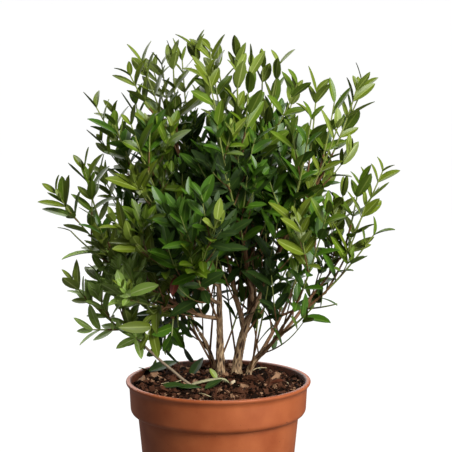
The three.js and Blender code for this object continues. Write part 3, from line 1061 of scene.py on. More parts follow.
@dataclass(frozen=True)
class Pot:
    """A moulded pot with a rolled lip and a collar."""

    lip_height: float = 6.4
    lip_edge: float = 2.6
    lip_overhang: float = 3.5
    collar_height: float = 31.5
    collar_taper: float = 1.4
    shoulder_drop: float = 8.0
    shoulder_step: float = 7.3
    shoulder_rise: float = 1.6
    foot_radius: float = 70.0
    wall: float = 2.0
    outer_roundings: tuple[float, ...] = (0, 3.0, 0.8, 5.0, 3.0, 1.2, 1.3)
    inner_roundings: tuple[float, ...] = (1.6, 2.0, 2.0, 2.5, 0)
    rounding_steps: int = 4
    drain_holes: int = 6
    drain_radius: float = 6.0
    drain_circle: float = 54.0
    drain_sides: int = 24
    drill_depth: float = 12.0
    steps: int = 144
    same_place: float = 0.02
    least_inward: float = 1e-6
    sharp_fold: float = 40.0

    def outside(self) -> list[Range]:
        """Work out the outer profile.

        Returns:
            Radius and height of its corners in millimetres, from the middle of the base up to the lip.
        """
        _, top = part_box("pot")
        rim, height = top.x / MM, top.z / MM
        collar_top = rim - self.lip_overhang
        collar_foot = collar_top - self.collar_taper
        low = height - self.collar_height - self.shoulder_drop / 2
        return [
            (0, 0),
            (self.foot_radius, 0),
            (collar_foot - self.shoulder_step, low),
            (collar_foot, low + self.shoulder_rise),
            (collar_top, height - self.lip_height),
            (rim, height - self.lip_edge),
            (rim, height),
        ]

    def inside(self) -> list[Range]:
        """Work out the inner profile, a wall's thickness from the outer one.

        Returns:
            Radius and height of its corners in millimetres, from the lip down to the middle of the base.
        """
        _, foot, body_top, collar_foot, collar_top, _, lip = self.outside()
        return [
            (collar_top[0] - self.wall, lip[1]),
            (collar_foot[0] - self.wall, body_top[1] + self.shoulder_drop),
            (body_top[0] - self.wall, body_top[1]),
            (foot[0] - self.wall, self.wall),
            (0, self.wall),
        ]

    def filled(self) -> list[Range]:
        """The inner wall's corners that the filling covers, from the base up."""
        return self.inside()[3:0:-1]

    def shell(self) -> bmesh.types.BMesh:
        """Make the pot's wall and base, with every corner of the profile rounded.

        Returns:
            The shape.
        """
        corners = [(radius * MM, height * MM) for radius, height in self.outside() + self.inside()]
        shape = spun(corners, self.steps)
        for corner, rounding in zip(corners, self.outer_roundings + self.inner_roundings):
            if not rounding:
                continue
            place = Vector(corner)
            near = {v for v in shape.verts if (profile_place(v) - place).length < self.same_place * MM}
            bmesh.ops.bevel(
                shape,
                geom=[e for e in shape.edges if near.issuperset(e.verts)],
                offset=rounding * MM,
                offset_type="OFFSET",
                segments=self.rounding_steps,
                profile=0.5,
                affect="EDGES",
                clamp_overlap=True,
                material=-1,
            )
        return shape

    def drilled(self, mesh: bpy.types.Mesh) -> bpy.types.Mesh:
        """Cut the drain holes through the base.

        Args:
            mesh: The pot without holes.

        Returns:
            The pot with holes.
        """
        drills = bmesh.new()
        for i in range(self.drain_holes):
            turn = Matrix.Rotation(2 * math.pi * i / self.drain_holes, 4, "Z")
            place = turn @ Matrix.Translation((self.drain_circle * MM, 0, 0))
            add_rod(drills, self.drain_sides, self.drain_radius * MM, self.drill_depth * MM, place)
        cutter = bpy.data.objects.new("drills", mesh_of("drills", drills, smooth=False))
        blank = bpy.data.objects.new("pot_blank", mesh)
        for thing in (cutter, blank):
            bpy.context.scene.collection.objects.link(thing)
        cut = blank.modifiers.new("drain_holes", "BOOLEAN")
        cut.operation, cut.solver, cut.object = "DIFFERENCE", "EXACT", cutter
        made = bpy.data.meshes.new_from_object(blank.evaluated_get(bpy.context.evaluated_depsgraph_get()))
        for thing in (cutter, blank):
            bpy.data.objects.remove(thing)
        return made

    def build(self) -> None:
        """Build the pot, with its inside in a darker, duller plastic."""
        mesh = self.drilled(mesh_of("pot_shell", self.shell()))
        mesh.materials.clear()
        for face in mesh.polygons:
            outward = face.normal.x * face.center.x + face.normal.y * face.center.y
            face.material_index = 1 if outward < -self.least_inward else 0
        mesh.set_sharp_from_angle(angle=math.radians(self.sharp_fold))
        finishes = [POT_PLASTIC.material(), DARKER_INNER_PLASTIC.material()]
        new_piece("pot_shell", mesh, finishes, "pot_plastic", "pot")


# The compost and what lies on it


@dataclass(frozen=True)
class FallenLeaf:
    """A leaf that lies on the compost.

    It has a kind, the places of its two ends, how far its tip is raised, its width and how far its face is
    turned to the front.
    """

    kind: LeafKind
    stalk: Range
    tip: Range
    rise: float
    width: float
    facing: float = 0.0


# The dark ones take the darkest green: painted shade where the crown shades the compost.
FALLEN_LEAVES = (
    FallenLeaf(LeafKind.PAINTED_SHADE, (-56, -54), (-30, -50), 2.0, 13.0, 0.9),
    FallenLeaf(LeafKind.PAINTED_SHADE, (-40, -55), (-16, -50), 0.0, 11.0, 0.7),
    FallenLeaf(LeafKind.PAINTED_SHADE, (-13, -44), (4, -32), 2.0, 10.0, 0.6),
    FallenLeaf(LeafKind.PAINTED_SHADE, (-72, 16), (-42, 36), 6.0, 17.0, 0.9),
    FallenLeaf(LeafKind.PAINTED_SHADE, (-58, -22), (-38, -10), 3.0, 11.0),
    FallenLeaf(LeafKind.PAINTED_SHADE, (-28, 18), (-16, 34), 15.0, 15.0),
    FallenLeaf(LeafKind.PAINTED_SHADE, (30, 52), (52, 38), 2.0, 11.0),
    FallenLeaf(LeafKind.GROWN, (-70, 36), (-84, 40), 12.0, 5.0),
    FallenLeaf(LeafKind.GROWN, (-70, 36), (-66, 33), 13.0, 4.5),
    FallenLeaf(LeafKind.YOUNG_AND_PAINTED_LIGHT, (-70, 36), (-74, 28), 9.0, 4.0),
    FallenLeaf(LeafKind.WITHERED, (52, -30), (66, -12), 2.0, 9.0),
    FallenLeaf(LeafKind.WITHERED, (-20, 58), (2, 62), 2.0, 9.0),
)


@dataclass(frozen=True)
class Grit:
    """A kind of loose bit: its shape, its range of lengths, and its width and thickness as shares."""

    shape: Template
    lengths: Range
    width: float
    thickness: float


@dataclass(frozen=True)
class Compost:
    """Peat compost that fills the pot: lumpy, heaped round the stems and lower at the wall."""

    plateau: float = 58.0
    edge_drop: float = 4.0
    edge_curve: float = 1.5
    mound: float = 3.0
    mound_width: float = 13.0
    lumps: tuple[Range, ...] = ((30.0, 3.4), (11.0, 3.6), (4.0, 1.5))
    rings: int = 46
    steps: int = 240
    chips: int = 700
    crumbs: int = 3400
    chip_shares: Triple = (0.46, 0.42, 0.12)
    chip_lengths: Range = (2.6, 10.0)
    chip_key: int = 31
    crumb_lengths: Range = (1.2, 4.0)
    crumb_key: int = 41
    grit_tilts: Range = (1.0, 0.8)
    grit_roughness: float = 0.28
    grit_lift: float = 0.3
    fibres: int = 300
    fibre_size: Range = (14.0, 0.3)
    fibre_key: int = 51
    straws: int = 9
    straw_size: Range = (26.0, 0.55)
    straw_key: int = 52
    strand_lengths: Range = (0.35, 1.0)
    strand_rise: float = 0.35
    strand_lifts: Range = (0.6, 1.2)
    strand_bend: float = 0.25
    strand_taper: float = 0.6
    strand_sides: int = 4
    leaf_lift: float = 2.0
    leaf_facing_lift: float = 0.3
    leaf_tilt: float = 0.5
    leaf_fold: float = 0.25
    leaf_curl: float = 0.5
    leaf_twist: float = 0.3
    wall_gap: float = 0.6
    wall_margin: float = 2.0
    stem_clearance: float = 7.0
    wall_radius: float = field(default_factory=lambda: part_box("compost")[1].x / MM)

    def from_stems(self, x: float, y: float) -> float:
        """How far a place, measured from the pot's axis, is from the nearest stem's foot."""
        return min(math.hypot(x - stem.foot[0], y - stem.foot[1] - GROUND[1]) for stem in STEMS)

    def height(self, x: float, y: float) -> float:
        """The ground's height over the plant's ground level.

        Args:
            x: Place to the right of the pot's axis, in millimetres.
            y: Place behind the pot's axis, in millimetres.

        Returns:
            The height in millimetres.
        """
        slope = max(0.0, (math.hypot(x, y) - self.plateau) / (self.wall_radius - self.plateau))
        rough = sum(depth * noise.noise(Vector((x / size, y / size, size))) for size, depth in self.lumps)
        heap = self.mound * math.exp(-((self.from_stems(x, y) / self.mound_width) ** 2))
        return rough - self.edge_drop * slope**self.edge_curve + heap

    def bed(self, pot: Pot) -> None:
        """Build the filling itself, a closed body in the pot with a lumpy top.

        Args:
            pot: The pot that it fills.
        """
        wall = self.wall_radius * MM
        ground = GROUND[2] * MM
        gap = self.wall_gap
        sides = [((radius - gap) * MM, (height + gap) * MM) for radius, height in pot.filled()]
        top = [(wall * (1 - i / self.rings), ground) for i in range(self.rings + 1)]
        shape = spun([(0, sides[0][1]), *sides, *top], self.steps)
        for vertex in shape.verts:
            if vertex.co.z > ground - MM:
                vertex.co.z += self.height(vertex.co.x / MM, vertex.co.y / MM) * MM
        mesh = mesh_of("compost_bed", shape)
        new_piece("compost_bed", mesh, [PEAT.material()], "compost", "compost")

    def scatter(self, count: int, key: int) -> Iterator[tuple[int, Point]]:
        """Deal out places on the ground, clear of the stems.

        Args:
            count: How many places to try.
            key: What sets this kind of thing apart from the others.

        Yields:
            The place's number and the place itself, in millimetres in the plant's frame.
        """
        for i in range(count):
            reach = (self.wall_radius - self.wall_margin) * math.sqrt(chance(key, i, 1))
            turn = 2 * math.pi * chance(key, i, 2)
            x, y = reach * math.cos(turn), reach * math.sin(turn)
            if self.from_stems(x, y) > self.stem_clearance:
                yield i, np.array([x, y - GROUND[1], self.height(x, y)])

    def strew(self, name: str, grit: Grit, count: int, key: int, finish: Finish) -> None:
        """Scatter chips or crumbs of one kind.

        Args:
            name: The piece's name.
            grit: Their shape and size.
            count: How many to try.
            key: What sets this kind apart from the others.
            finish: What they are made of.
        """
        places = []
        corners = range(len(grit.shape.coords))
        for i, place in self.scatter(count, key):
            length = mix(*grit.lengths, chance(key, i, 3) ** 2)
            spin = Matrix.Rotation(2 * math.pi * chance(key, i, 4), 3, "Z")
            pitch = Matrix.Rotation(self.grit_tilts[0] * sway(key, i, 5), 3, "X")
            roll = Matrix.Rotation(self.grit_tilts[1] * sway(key, i, 6), 3, "Y")
            turn = np.array(spin @ (pitch @ roll))
            broken = np.array([[sway(key, i, 7 + 3 * k + j) for j in range(3)] for k in corners])
            size = np.array([1, grit.width, grit.thickness]) * length / 2
            shaped = grit.shape.coords * (1 + self.grit_roughness * broken) * size
            places.append(shaped @ turn.T + place + UP * grit.thickness * length * self.grit_lift)
        mesh = joined_mesh(name, grit.shape, np.array(places), smooth=False)
        new_piece(name, mesh, [finish.material()], "compost")

    def strands(self, name: str, count: int, key: int, finish: Finish, size: Range) -> None:
        """Scatter thin bent strands that lie on the ground.

        Args:
            name: The piece's name.
            count: How many to try.
            key: What sets this kind apart from the others.
            finish: What they are made of.
            size: The greatest length, and the radius.
        """
        limbs = []
        longest, radius = size
        for i, place in self.scatter(count, key):
            length = longest * mix(*self.strand_lengths, chance(key, i, 3))
            turn = 2 * math.pi * chance(key, i, 4)
            way = np.array([math.cos(turn), math.sin(turn), self.strand_rise * sway(key, i, 5)])
            foot, tip = place + UP * self.strand_lifts[0], place + way * length + UP * self.strand_lifts[1]
            if math.hypot(tip[0], tip[1] + GROUND[1]) > self.wall_radius - self.wall_margin / 2:
                continue
            bow = np.array([sway(key, i, 6), sway(key, i, 7), chance(key, i, 8)])
            bend = (foot + tip) / 2 + bow * length * self.strand_bend
            limbs.append(Limb(foot, bend, tip, (radius, radius * self.strand_taper)))
        mesh = tubes(name, limbs, self.strand_sides, self.strand_sides)
        new_piece(name, mesh, [finish.material()], "compost")

    def fallen_leaf(self, number: int, row: FallenLeaf) -> Leaf:
        """Lay a fallen leaf on the ground.

        Args:
            number: Its number among the leaves of its kind, which seeds its bearing.
            row: Where it lies.

        Returns:
            The leaf.
        """
        lift = self.leaf_lift + self.leaf_facing_lift * row.facing * row.width
        ends = (row.stalk, row.tip)
        low, high = (np.array([x, y, self.height(x, y + GROUND[1]) + lift]) for x, y in ends)
        reach = high + UP * row.rise - low
        along = unit(reach)
        sideways, forward = self.leaf_tilt * sway(number, 61), self.leaf_tilt * sway(number, 62)
        normal = squared_to(unit(UP + np.array([sideways, forward - row.facing, 0])), along)
        curl = self.leaf_curl * sway(number, 63)
        length = float(np.linalg.norm(reach))
        return Leaf(low, along, normal, length, row.width, self.leaf_fold, curl, self.leaf_twist)

    def build(self, pot: Pot) -> None:
        """Build the pot's filling and strew it with bark chips, crumbs, fibres and leaves.

        Args:
            pot: The pot that it fills.
        """
        self.bed(pot)
        cube = bmesh.new()
        bmesh.ops.create_cube(cube, size=2)
        bmesh.ops.subdivide_edges(cube, edges=cube.edges, cuts=1, use_grid_fill=True)
        chip = Grit(Template.of(cube), self.chip_lengths, width=0.55, thickness=0.4)
        ball = bmesh.new()
        bmesh.ops.create_icosphere(ball, subdivisions=1, radius=1)
        crumb = Grit(Template.of(ball), self.crumb_lengths, width=0.8, thickness=0.6)
        for i, (finish, share) in enumerate(zip(CHIP_FINISHES, self.chip_shares)):
            chips, crumbs = round(self.chips * share), round(self.crumbs * share)
            self.strew(f"{finish.name}s", chip, chips, self.chip_key + i, finish)
            self.strew(f"{finish.name}_crumbs", crumb, crumbs, self.crumb_key + i, finish)
        for kind in LeafKind:
            rows = [row for row in FALLEN_LEAVES if row.kind is kind]
            leaves = [self.fallen_leaf(i, row) for i, row in enumerate(rows)]
            if leaves:
                LeafShape().build(f"fallen_leaves_{kind.value}", kind, leaves, "compost")
        self.strands("peat_fibres", self.fibres, self.fibre_key, CHIP_FINISHES[1], self.fibre_size)
        self.strands("pale_straws", self.straws, self.straw_key, STRAW, self.straw_size)


# The stems and boughs


@dataclass(frozen=True, eq=False)
class BarkedLimb:
    """A limb with its bark.

    It has a number of sides, the bark's relief as a share of the radius, how young the bark is at the foot
    and at the tip, a number that seeds the bark, and a length that its foot runs on below the ground.
    """

    limb: Limb
    sides: int
    depth: float
    ages: Range
    key: int
    sunk: float = 0.0


@dataclass(frozen=True)
class Woodwork:
    """Stems and boughs with their bark: fissured and thick at the foot, smooth and russet at the tips."""

    stem_sides: int = 36
    bough_sides: int = 20
    row_length: float = 1.1
    stem_relief: float = 0.17
    bough_relief: float = 0.06
    low_relief: float = 0.03
    mean_height: float = 0.55
    stem_ages: Range = (0.0, 0.35)
    bough_ages: Range = (0.3, 0.95)
    low_ages: tuple[Range, ...] = ((0.0, 0.3), (0.9, 1.0))
    first_stem: int = 1
    first_bough: int = 11
    first_low_limb: int = 31
    strip_width: float = 1.7
    strip_length: float = 11.0
    strip_seeds: Range = (7.3, 3.1)
    ridge_depth: float = 1.7
    ridge_share: float = 0.75
    fine_scale: float = 2.9
    fine_level: float = 0.5
    wander: float = 0.7
    wander_length: float = 24.0
    wander_seeds: Range = (5.7, 0.5)
    wander_ends: Range = (0.25, 0.2)
    cross_scale: float = 1.3
    cross_start: Triple = (9.0, 0.0, 0.0)
    buried: float = 5.0
    end_share: float = 0.06
    end_opening: float = 0.02
    seam: float = 0.002
    old_stem: str = "stem_left"
    old_flare: Range = (0.42, 0.36)
    stub_foot: Range = (14.5, -27.0)
    stub_radius: float = 2.8
    stub_height: float = 5.0
    stub_slant: float = 0.5
    stub_sides: int = 16
    stub_edge: float = 0.4

    def relief(self, angle: float, along: float, radius: float, key: int) -> float:
        """The bark's height at a place on a limb, from 0 in a crack to 1 on a plate.

        Args:
            angle: The place's turn round the limb.
            along: Its distance along the limb in millimetres.
            radius: The limb's radius there.
            key: What sets this limb apart from the others.

        Returns:
            The height as a share.
        """
        turn = Vector((math.cos(angle), math.sin(angle), 0)) * radius / self.strip_width
        place = turn + Vector((*(key * seed for seed in self.strip_seeds), along / self.strip_length))
        ridge = 1 - abs(noise.noise(place)) * self.ridge_depth
        fine = noise.noise(place * self.fine_scale) + self.fine_level
        return min(1.0, max(0.0, mix(fine, ridge, self.ridge_share)))

    def drift(self, run: float, t: float, key: int) -> Range:
        """How far a limb's centre strays from its curve.

        Args:
            run: A place's distance along the limb in millimetres.
            t: The same as a share of the limb's length.
            key: What sets this limb apart from the others.

        Returns:
            How far it strays in the limb's own plane and square to it, in millimetres.
        """
        place = Vector((run / self.wander_length, key * self.wander_seeds[0], self.wander_seeds[1]))
        other = place * self.cross_scale + Vector(self.cross_start)
        grow = self.wander * min(1.0, t / self.wander_ends[0], max(0.0, (1 - t) / self.wander_ends[1]))
        return noise.noise(place) * grow, noise.noise(other) * grow

    def add_limb(self, shape: bmesh.types.BMesh, row: BarkedLimb) -> None:
        """Wrap a grid of bark round a limb.

        Args:
            shape: The shape that gets the limb.
            row: The limb.
        """
        relief, youth = shape.verts.layers.float["relief"], shape.verts.layers.float["youth"]
        rind = shape.loops.layers.uv["rind"]
        limb, reach = row.limb, row.limb.length
        length = reach + row.sunk
        steps = round(length / self.row_length)
        verts = bmesh.ops.create_grid(shape, x_segments=row.sides, y_segments=steps, size=1)["verts"]
        for loop in {loop for v in verts for loop in v.link_loops}:
            x, y = loop.vert.co.xy
            loop[rind].uv = (x * math.pi * limb.radii[0], (y + 1) / 2 * length)
        for vertex in verts:
            angle, run = math.pi * (vertex.co.x + 1), (vertex.co.y + 1) / 2 * length - row.sunk
            t = max(0.0, run / reach)
            side, square = limb.across(t)
            radius = float(limb.radius(t))
            height = self.relief(angle, run, radius, row.key)
            end = max(0.0, (t - 1 + self.end_share) / self.end_share)
            close = math.sqrt(max(self.end_opening, 1 - end**2))
            out = radius * close * (1 + row.depth * 2 * (height - self.mean_height))
            sideways, squarely = self.drift(run, t, row.key)
            sideways, squarely = sideways + out * math.cos(angle), squarely + out * math.sin(angle)
            place = limb.point(t) + side * sideways + square * squarely + UP * min(0.0, run)
            vertex.co = Vector((place + GROUND) * MM)
            vertex[relief] = height
            vertex[youth] = mix(*row.ages, t)
        bmesh.ops.remove_doubles(shape, verts=verts, dist=self.seam * MM)

    def bark_piece(self, name: str, rows: list[BarkedLimb], finish: Finish, *nodes: str) -> None:
        """Join several limbs' bark in one piece and close their ends.

        Args:
            name: The piece's name.
            rows: The limbs.
            finish: The bark.
            *nodes: The solids that the piece stands for.
        """
        shape = bmesh.new()
        for layer in ("relief", "youth"):
            shape.verts.layers.float.new(layer)
        shape.loops.layers.uv.new("rind")
        for row in rows:
            self.add_limb(shape, row)
        bmesh.ops.holes_fill(shape, edges=[e for e in shape.edges if e.is_boundary], sides=0)
        bmesh.ops.recalc_face_normals(shape, faces=shape.faces)
        new_piece(name, mesh_of(name, shape), [finish.material()], "bark", *nodes)

    def cut_stub(self) -> None:
        """Build the short stub of a pruned stem, sawn off at a slant just over the ground."""
        stub = bmesh.new()
        middle = Vector(GROUND * MM) + Vector((*self.stub_foot, 0)) * MM
        middle.z += (self.stub_height - self.buried) / 2 * MM
        depth = (self.buried + self.stub_height) * MM
        add_rod(stub, self.stub_sides, self.stub_radius * MM, depth, Matrix.Translation(middle))
        top = max(stub.faces, key=lambda face: face.calc_center_median().z)
        for vertex in top.verts:
            vertex.co.z += self.stub_slant * (vertex.co.x - middle.x - (vertex.co.y - middle.y))
        bmesh.ops.bevel(
            stub,
            geom=list(top.edges),
            offset=self.stub_edge * MM,
            segments=2,
            profile=0.5,
            affect="EDGES",
            material=-1,
        )
        new_piece("cut_stub", mesh_of("cut_stub", stub, smooth=False), [CUT_WOOD.material()], "bark")

    def build(self, skeleton: Skeleton) -> None:
        """Build the bark of every stem and bough.

        Args:
            skeleton: The limbs.
        """
        for i, (name, limb) in enumerate(skeleton.stems.items(), self.first_stem):
            if name == self.old_stem:
                limb = replace(limb, flare=self.old_flare[0], flare_share=self.old_flare[1])
            stem = BarkedLimb(limb, self.stem_sides, self.stem_relief, self.stem_ages, i, self.buried)
            self.bark_piece(f"{name}_bark", [stem], STEM_BARK, name)
        boughs = [
            BarkedLimb(limb, self.bough_sides, self.bough_relief, self.bough_ages, i)
            for i, limb in enumerate(skeleton.boughs.values(), self.first_bough)
        ]
        self.bark_piece("boughs_bark", boughs, STEM_BARK, *skeleton.boughs)
        aged = zip(skeleton.low_limbs.values(), self.low_ages)
        low = [
            BarkedLimb(limb, self.bough_sides, self.low_relief, ages, i)
            for i, (limb, ages) in enumerate(aged, self.first_low_limb)
        ]
        self.bark_piece("low_limb_rind", low, LOW_RIND, *skeleton.low_limbs)
        self.cut_stub()


# The crown


@dataclass(frozen=True, eq=False)
class Shoot:
    """A leafy shoot, with the number of its spray and how its leaves stand on it."""

    limb: Limb
    spray: float
    bare: float
    spacing: float
    leader: bool = False


@dataclass(frozen=True)
class Growth:
    """How a side shoot grows.

    It leaves its parent at a share of the parent's length, with a turn round the parent and an angle to it,
    and it has a length and a radius at either end.
    """

    at: float
    turn: float
    lean: float
    length: float
    radii: Range


@dataclass(frozen=True)
class TwigRule:
    """What the twigs of one kind of limb share: their first draw, spread, range of lengths and radii."""

    draw: int
    spread: float
    lengths: Range
    radii: Range


@dataclass(frozen=True)
class Leader:
    """A long shoot that leaves a mass's stem and stands out of the crown to a tip of its own."""

    mass: str
    at: float
    tip: Triple


LEADERS = (
    Leader("crest_left", 0.35, (-46, -8, 345)),
    Leader("crest_left", 0.55, (-95, -8, 324)),
    Leader("crest_front", 0.5, (-27, -6, 351)),
    Leader("crest_front", 0.3, (-11, -12, 353)),
    Leader("crest_right", 0.45, (85, -10, 316)),
    Leader("crest_front", 0.4, (33, -10, 336)),
    Leader("shoulder_right", 0.25, (100, -12, 310)),
    Leader("shoulder_right", 0.4, (119, -16, 299)),
    Leader("waist_right", 0.45, (144, -24, 218)),
    Leader("waist_right", 0.25, (130, 14, 202)),
    Leader("waist_low_right", 0.4, (152, -30, 196)),
    Leader("skirt_right", 0.35, (130, -20, 85)),
    Leader("waist_left", 0.45, (-139, -14, 232)),
    Leader("waist_left", 0.3, (-159, -20, 166)),
    Leader("skirt_left", 0.3, (-140, -16, 56)),
    Leader("skirt_left", 0.15, (-90, -22, 72)),
    Leader("skirt_front_left", 0.25, (-72, -42, 74)),
    Leader("skirt_front_left", 0.05, (-62, 8, 24)),
    Leader("skirt_front_left", 0.2, (-92, -4, 34)),
    Leader("skirt_front_left", 0.1, (-48, -30, 40)),
    Leader("skirt_front_left", 0.3, (-76, -52, 48)),
    Leader("skirt_back_left", 0.03, (-36, 32, 14)),
    Leader("skirt_back_left", 0.2, (-74, 40, 40)),
    Leader("skirt_back_left", 0.1, (-52, 30, 34)),
    Leader("skirt_front_left", 0.05, (-40, -6, 44)),
)


@dataclass(frozen=True)
class Opening:
    """A gap between the sprays, seen from the front: its middle, its radius and the share left out."""

    x: float
    z: float
    radius: float
    share: float


OPENINGS = (
    Opening(-110, 270, 38, 0.95),
    Opening(-104, 206, 26, 0.7),
    Opening(122, 266, 36, 0.92),
    Opening(24, 340, 16, 0.8),
    Opening(-72, 308, 18, 0.7),
    Opening(-142, 140, 20, 0.65),
    Opening(140, 146, 24, 0.65),
    Opening(62, 297, 22, 0.8),
    Opening(106, 102, 48, 0.75),
    Opening(66, 64, 30, 0.95),
    Opening(-29, 72, 18, 0.9),
)


@dataclass(frozen=True)
class Hull:
    """A rounded outline about the plant's axis, between a lowest and a highest height."""

    radius: float
    foot: float
    top: float
    squareness: float

    def depth(self, point: Point) -> float:
        """How near a point is to the outline.

        Args:
            point: The point, in millimetres in the plant's frame.

        Returns:
            A number that is 0 at the outline's heart and 1 on it.
        """
        out = math.hypot(point[0], point[1]) / self.radius
        up = abs(2 * point[2] - self.foot - self.top) / (self.top - self.foot)
        return (out**self.squareness + up**self.squareness) ** (1 / self.squareness)


@dataclass
class Crown:
    """The masses of foliage: each mass's stem, its twigs and twiglets, and true leaves in opposite pairs."""

    outline: Hull = Hull(188.0, 0.0, 362.0, 4.0)
    body: Hull = Hull(147.0, 20.0, 284.0, 2.6)
    body_edge: Range = (0.64, 1.2)
    rim_clearance: float = 5.0
    clearing: Triple = (14.0, 38.0, 70.0)
    sparse_side: tuple[Range, ...] = ((62, 66), (80, 122), (112, 128), (172, 190))
    opening_seen: float = 0.6
    opening_leaves: float = 0.3
    twigs: int = 8
    twig_rule: TwigRule = TwigRule(1, 40.0, (0.75, 1.25), (0.85, 0.45))
    twig_span: Range = (0.14, 0.92)
    twig_length: float = 84.0
    twig_shortening: float = 0.55
    twig_sway: float = 12.0
    twig_lifts: Range = (0.45, 1.4)
    twig_trims: tuple[float, ...] = (1.0, 0.8, 0.6, 0.4)
    twig_bare: float = 0.2
    mass_bare: float = 0.3
    spray_step: float = 0.1
    twiglet_at: float = 0.35
    twiglet_share: float = 0.55
    twiglet_lengths: Range = (0.7, 1.3)
    twiglet_taper: float = 0.7
    bough_shoots: int = 9
    bough_rule: TwigRule = TwigRule(21, 40.0, (0.75, 1.25), (0.85, 0.45))
    bough_span: Range = (0.12, 0.95)
    first_bough: int = 41
    stem_twigs: int = 2
    stem_rule: TwigRule = TwigRule(24, 34.0, (0.9, 1.5), (1.25, 0.7))
    stem_span: Range = (0.2, 0.9)
    stem_twig_bare: float = 0.6
    first_stem: int = 81
    crest_height: float = 270.0
    crest_step: float = 34.0
    crest_steps: Range = (0.6, 1.0)
    crest_drop: float = 0.5
    crest_foot: float = 0.35
    crest_spray: float = 0.5
    crest_bare: float = 0.4
    first_leader: int = 61
    leader_bare: float = 0.25
    leader_bow: Triple = (0.12, 0.12, -0.06)
    leader_radii: Range = (1.2, 0.7)
    leader_spacing: float = 18.0
    leader_fan: float = 0.5
    woody_share: float = 0.45
    woody_sides: int = 6
    green_sides: int = 5
    leaf_length: float = 25.5
    leaf_width: float = 10.0
    leaf_spacing: float = 12.5
    leaf_sizes: Range = (0.86, 1.08)
    leaf_lengths: Range = (0.72, 1.34)
    leaf_widths: Range = (0.84, 1.2)
    leaf_spread: Range = (60.0, 34.0)
    leaf_sways: Range = (0.3, 9.0)
    leaf_light_turn: float = 1.15
    leaf_outward: float = 0.55
    leaf_lift: float = 0.22
    leaf_folds: Range = (0.06, 0.38)
    leaf_curls: Range = (-0.2, 0.5)
    leaf_twist: float = 0.35
    tip_start: float = 0.7
    tip_shrinks: Range = (0.4, 0.06)
    tip_crowding: float = 1.35
    leaves_per_piece: int = 1600
    window: Triple = (0.2, -0.6, 0.8)
    bare_heart: Range = (0.6, 0.62)
    front_share: float = 0.45
    spray_light: float = 0.25
    height_light: float = 0.15
    # A painted-light spot at the lower left, where the crown shades the leaves: there the leaves are dealt
    # the brightest and the young greens, as a painted highlight.
    painted_light_spot: Triple = (-106.0, -30.0, 98.0)
    painted_light_reach: float = 86.0
    painted_light_gain: float = 0.7
    painted_light_from: Range = (0.1, 0.6)
    painted_young_from: float = 0.4
    young_tips: Triple = (0.72, 0.55, 0.3)
    sunlit_from: float = 0.62
    grown_from: float = 0.4
    shaded_from: float = 0.15
    rosette_ways: tuple[Triple, ...] = (
        (-0.15, -0.3, 1.0),
        (0.55, -0.3, 0.85),
        (1.0, -0.4, 0.1),
        (-0.8, -0.4, 0.6),
        (-0.95, -0.5, -0.35),
        (0.25, -0.6, -0.7),
        (-0.3, 0.7, 0.6),
    )
    rosette_size: Range = (24.0, 9.5)
    withered_at: float = 0.37
    withered_way: Triple = (-0.2, -0.5, -0.8)
    withered_size: Range = (20.0, 9.0)
    sprout_at: float = 0.55
    sprout_way: Triple = (-0.5, 0.3, 0.8)
    sprout_size: Range = (13.0, 6.5)
    single_bends: Triple = (0.2, 0.2, 0.1)
    shoots: list[Shoot] = field(default_factory=list)
    leaves: dict[LeafKind, list[Leaf]] = field(default_factory=lambda: {kind: [] for kind in LeafKind})

    def is_open(self, point: Point, hull: Hull, limit: float = 1.0) -> bool:
        """Whether a tip may reach a point: inside a hull, over the rim and out of the bare places.

        Args:
            point: The point.
            hull: The hull.
            limit: How near to the hull's outline it may come.

        Returns:
            Whether the point is open to it.
        """
        middle, half, height = self.clearing
        cleared = point[2] < height and abs(point[0] - middle) < half
        cleared = cleared or point[0] > np.interp(point[2], *zip(*self.sparse_side))
        return hull.depth(point) < limit and point[2] > self.rim_clearance and not cleared

    def openness(self, point: Point) -> float:
        """How much is left out at a point because it lies in an opening of the crown.

        Args:
            point: The point.

        Returns:
            The share, from 0 to 1.
        """
        x, _, z = point
        near = [gap.share for gap in OPENINGS if math.hypot(x - gap.x, z - gap.z) < gap.radius]
        return max(near, default=0.0)

    def growth(self, rule: TwigRule, number: int, i: int, at: float, share: float = 1.0) -> Growth:
        """Draw how a twig grows, each a golden turn on from the last.

        Args:
            rule: What the twigs of its kind of limb share.
            number: Its limb's number.
            i: Its number on the limb.
            at: The share of the limb's length where it leaves.
            share: Its length as a share of what the rule gives.

        Returns:
            How it grows.
        """
        turn = i * GOLDEN_TURN + 2 * math.pi * chance(number, rule.draw)
        lean = math.radians(rule.spread + self.twig_sway * sway(number, i, rule.draw + 1))
        length = self.twig_length * share * mix(*rule.lengths, chance(number, i, rule.draw + 2))
        return Growth(at, turn, lean, length, rule.radii)

    def shoot_from(self, parent: Limb, growth: Growth) -> Limb:
        """A side shoot that leaves its parent at an angle and lifts towards the light.

        Args:
            parent: The limb that it grows from.
            growth: How it grows.

        Returns:
            The shoot.
        """
        side, square = parent.across(growth.at)
        out = side * math.cos(growth.turn) + square * math.sin(growth.turn)
        foot, half = parent.point(growth.at), growth.length / 2
        heading = unit(parent.tangent(growth.at) * math.cos(growth.lean) + out * math.sin(growth.lean))
        risen, higher = (unit(heading + UP * lift) for lift in self.twig_lifts)
        return Limb(foot, foot + risen * half, foot + (risen + higher) * half, growth.radii)

    def add_shoot(self, parent: Limb, growth: Growth, spray: float) -> Limb | None:
        """Add a side shoot, cut back until its tip is inside the crown's body.

        Args:
            parent: The limb that it grows from.
            growth: How it grows before it is cut back.
            spray: The number of its spray.

        Returns:
            The shoot's limb, or none where there is no room for it.
        """
        limit = mix(*self.body_edge, chance(spray, growth.at, 31))
        for trim in self.twig_trims:
            limb = self.shoot_from(parent, replace(growth, length=growth.length * trim))
            if self.is_open(limb.tip, self.body, limit):
                if chance(spray, *limb.tip, 32) < self.openness(limb.point(self.opening_seen)):
                    return None
                self.shoots.append(Shoot(limb, spray, self.twig_bare, self.leaf_spacing))
                return limb
        return None

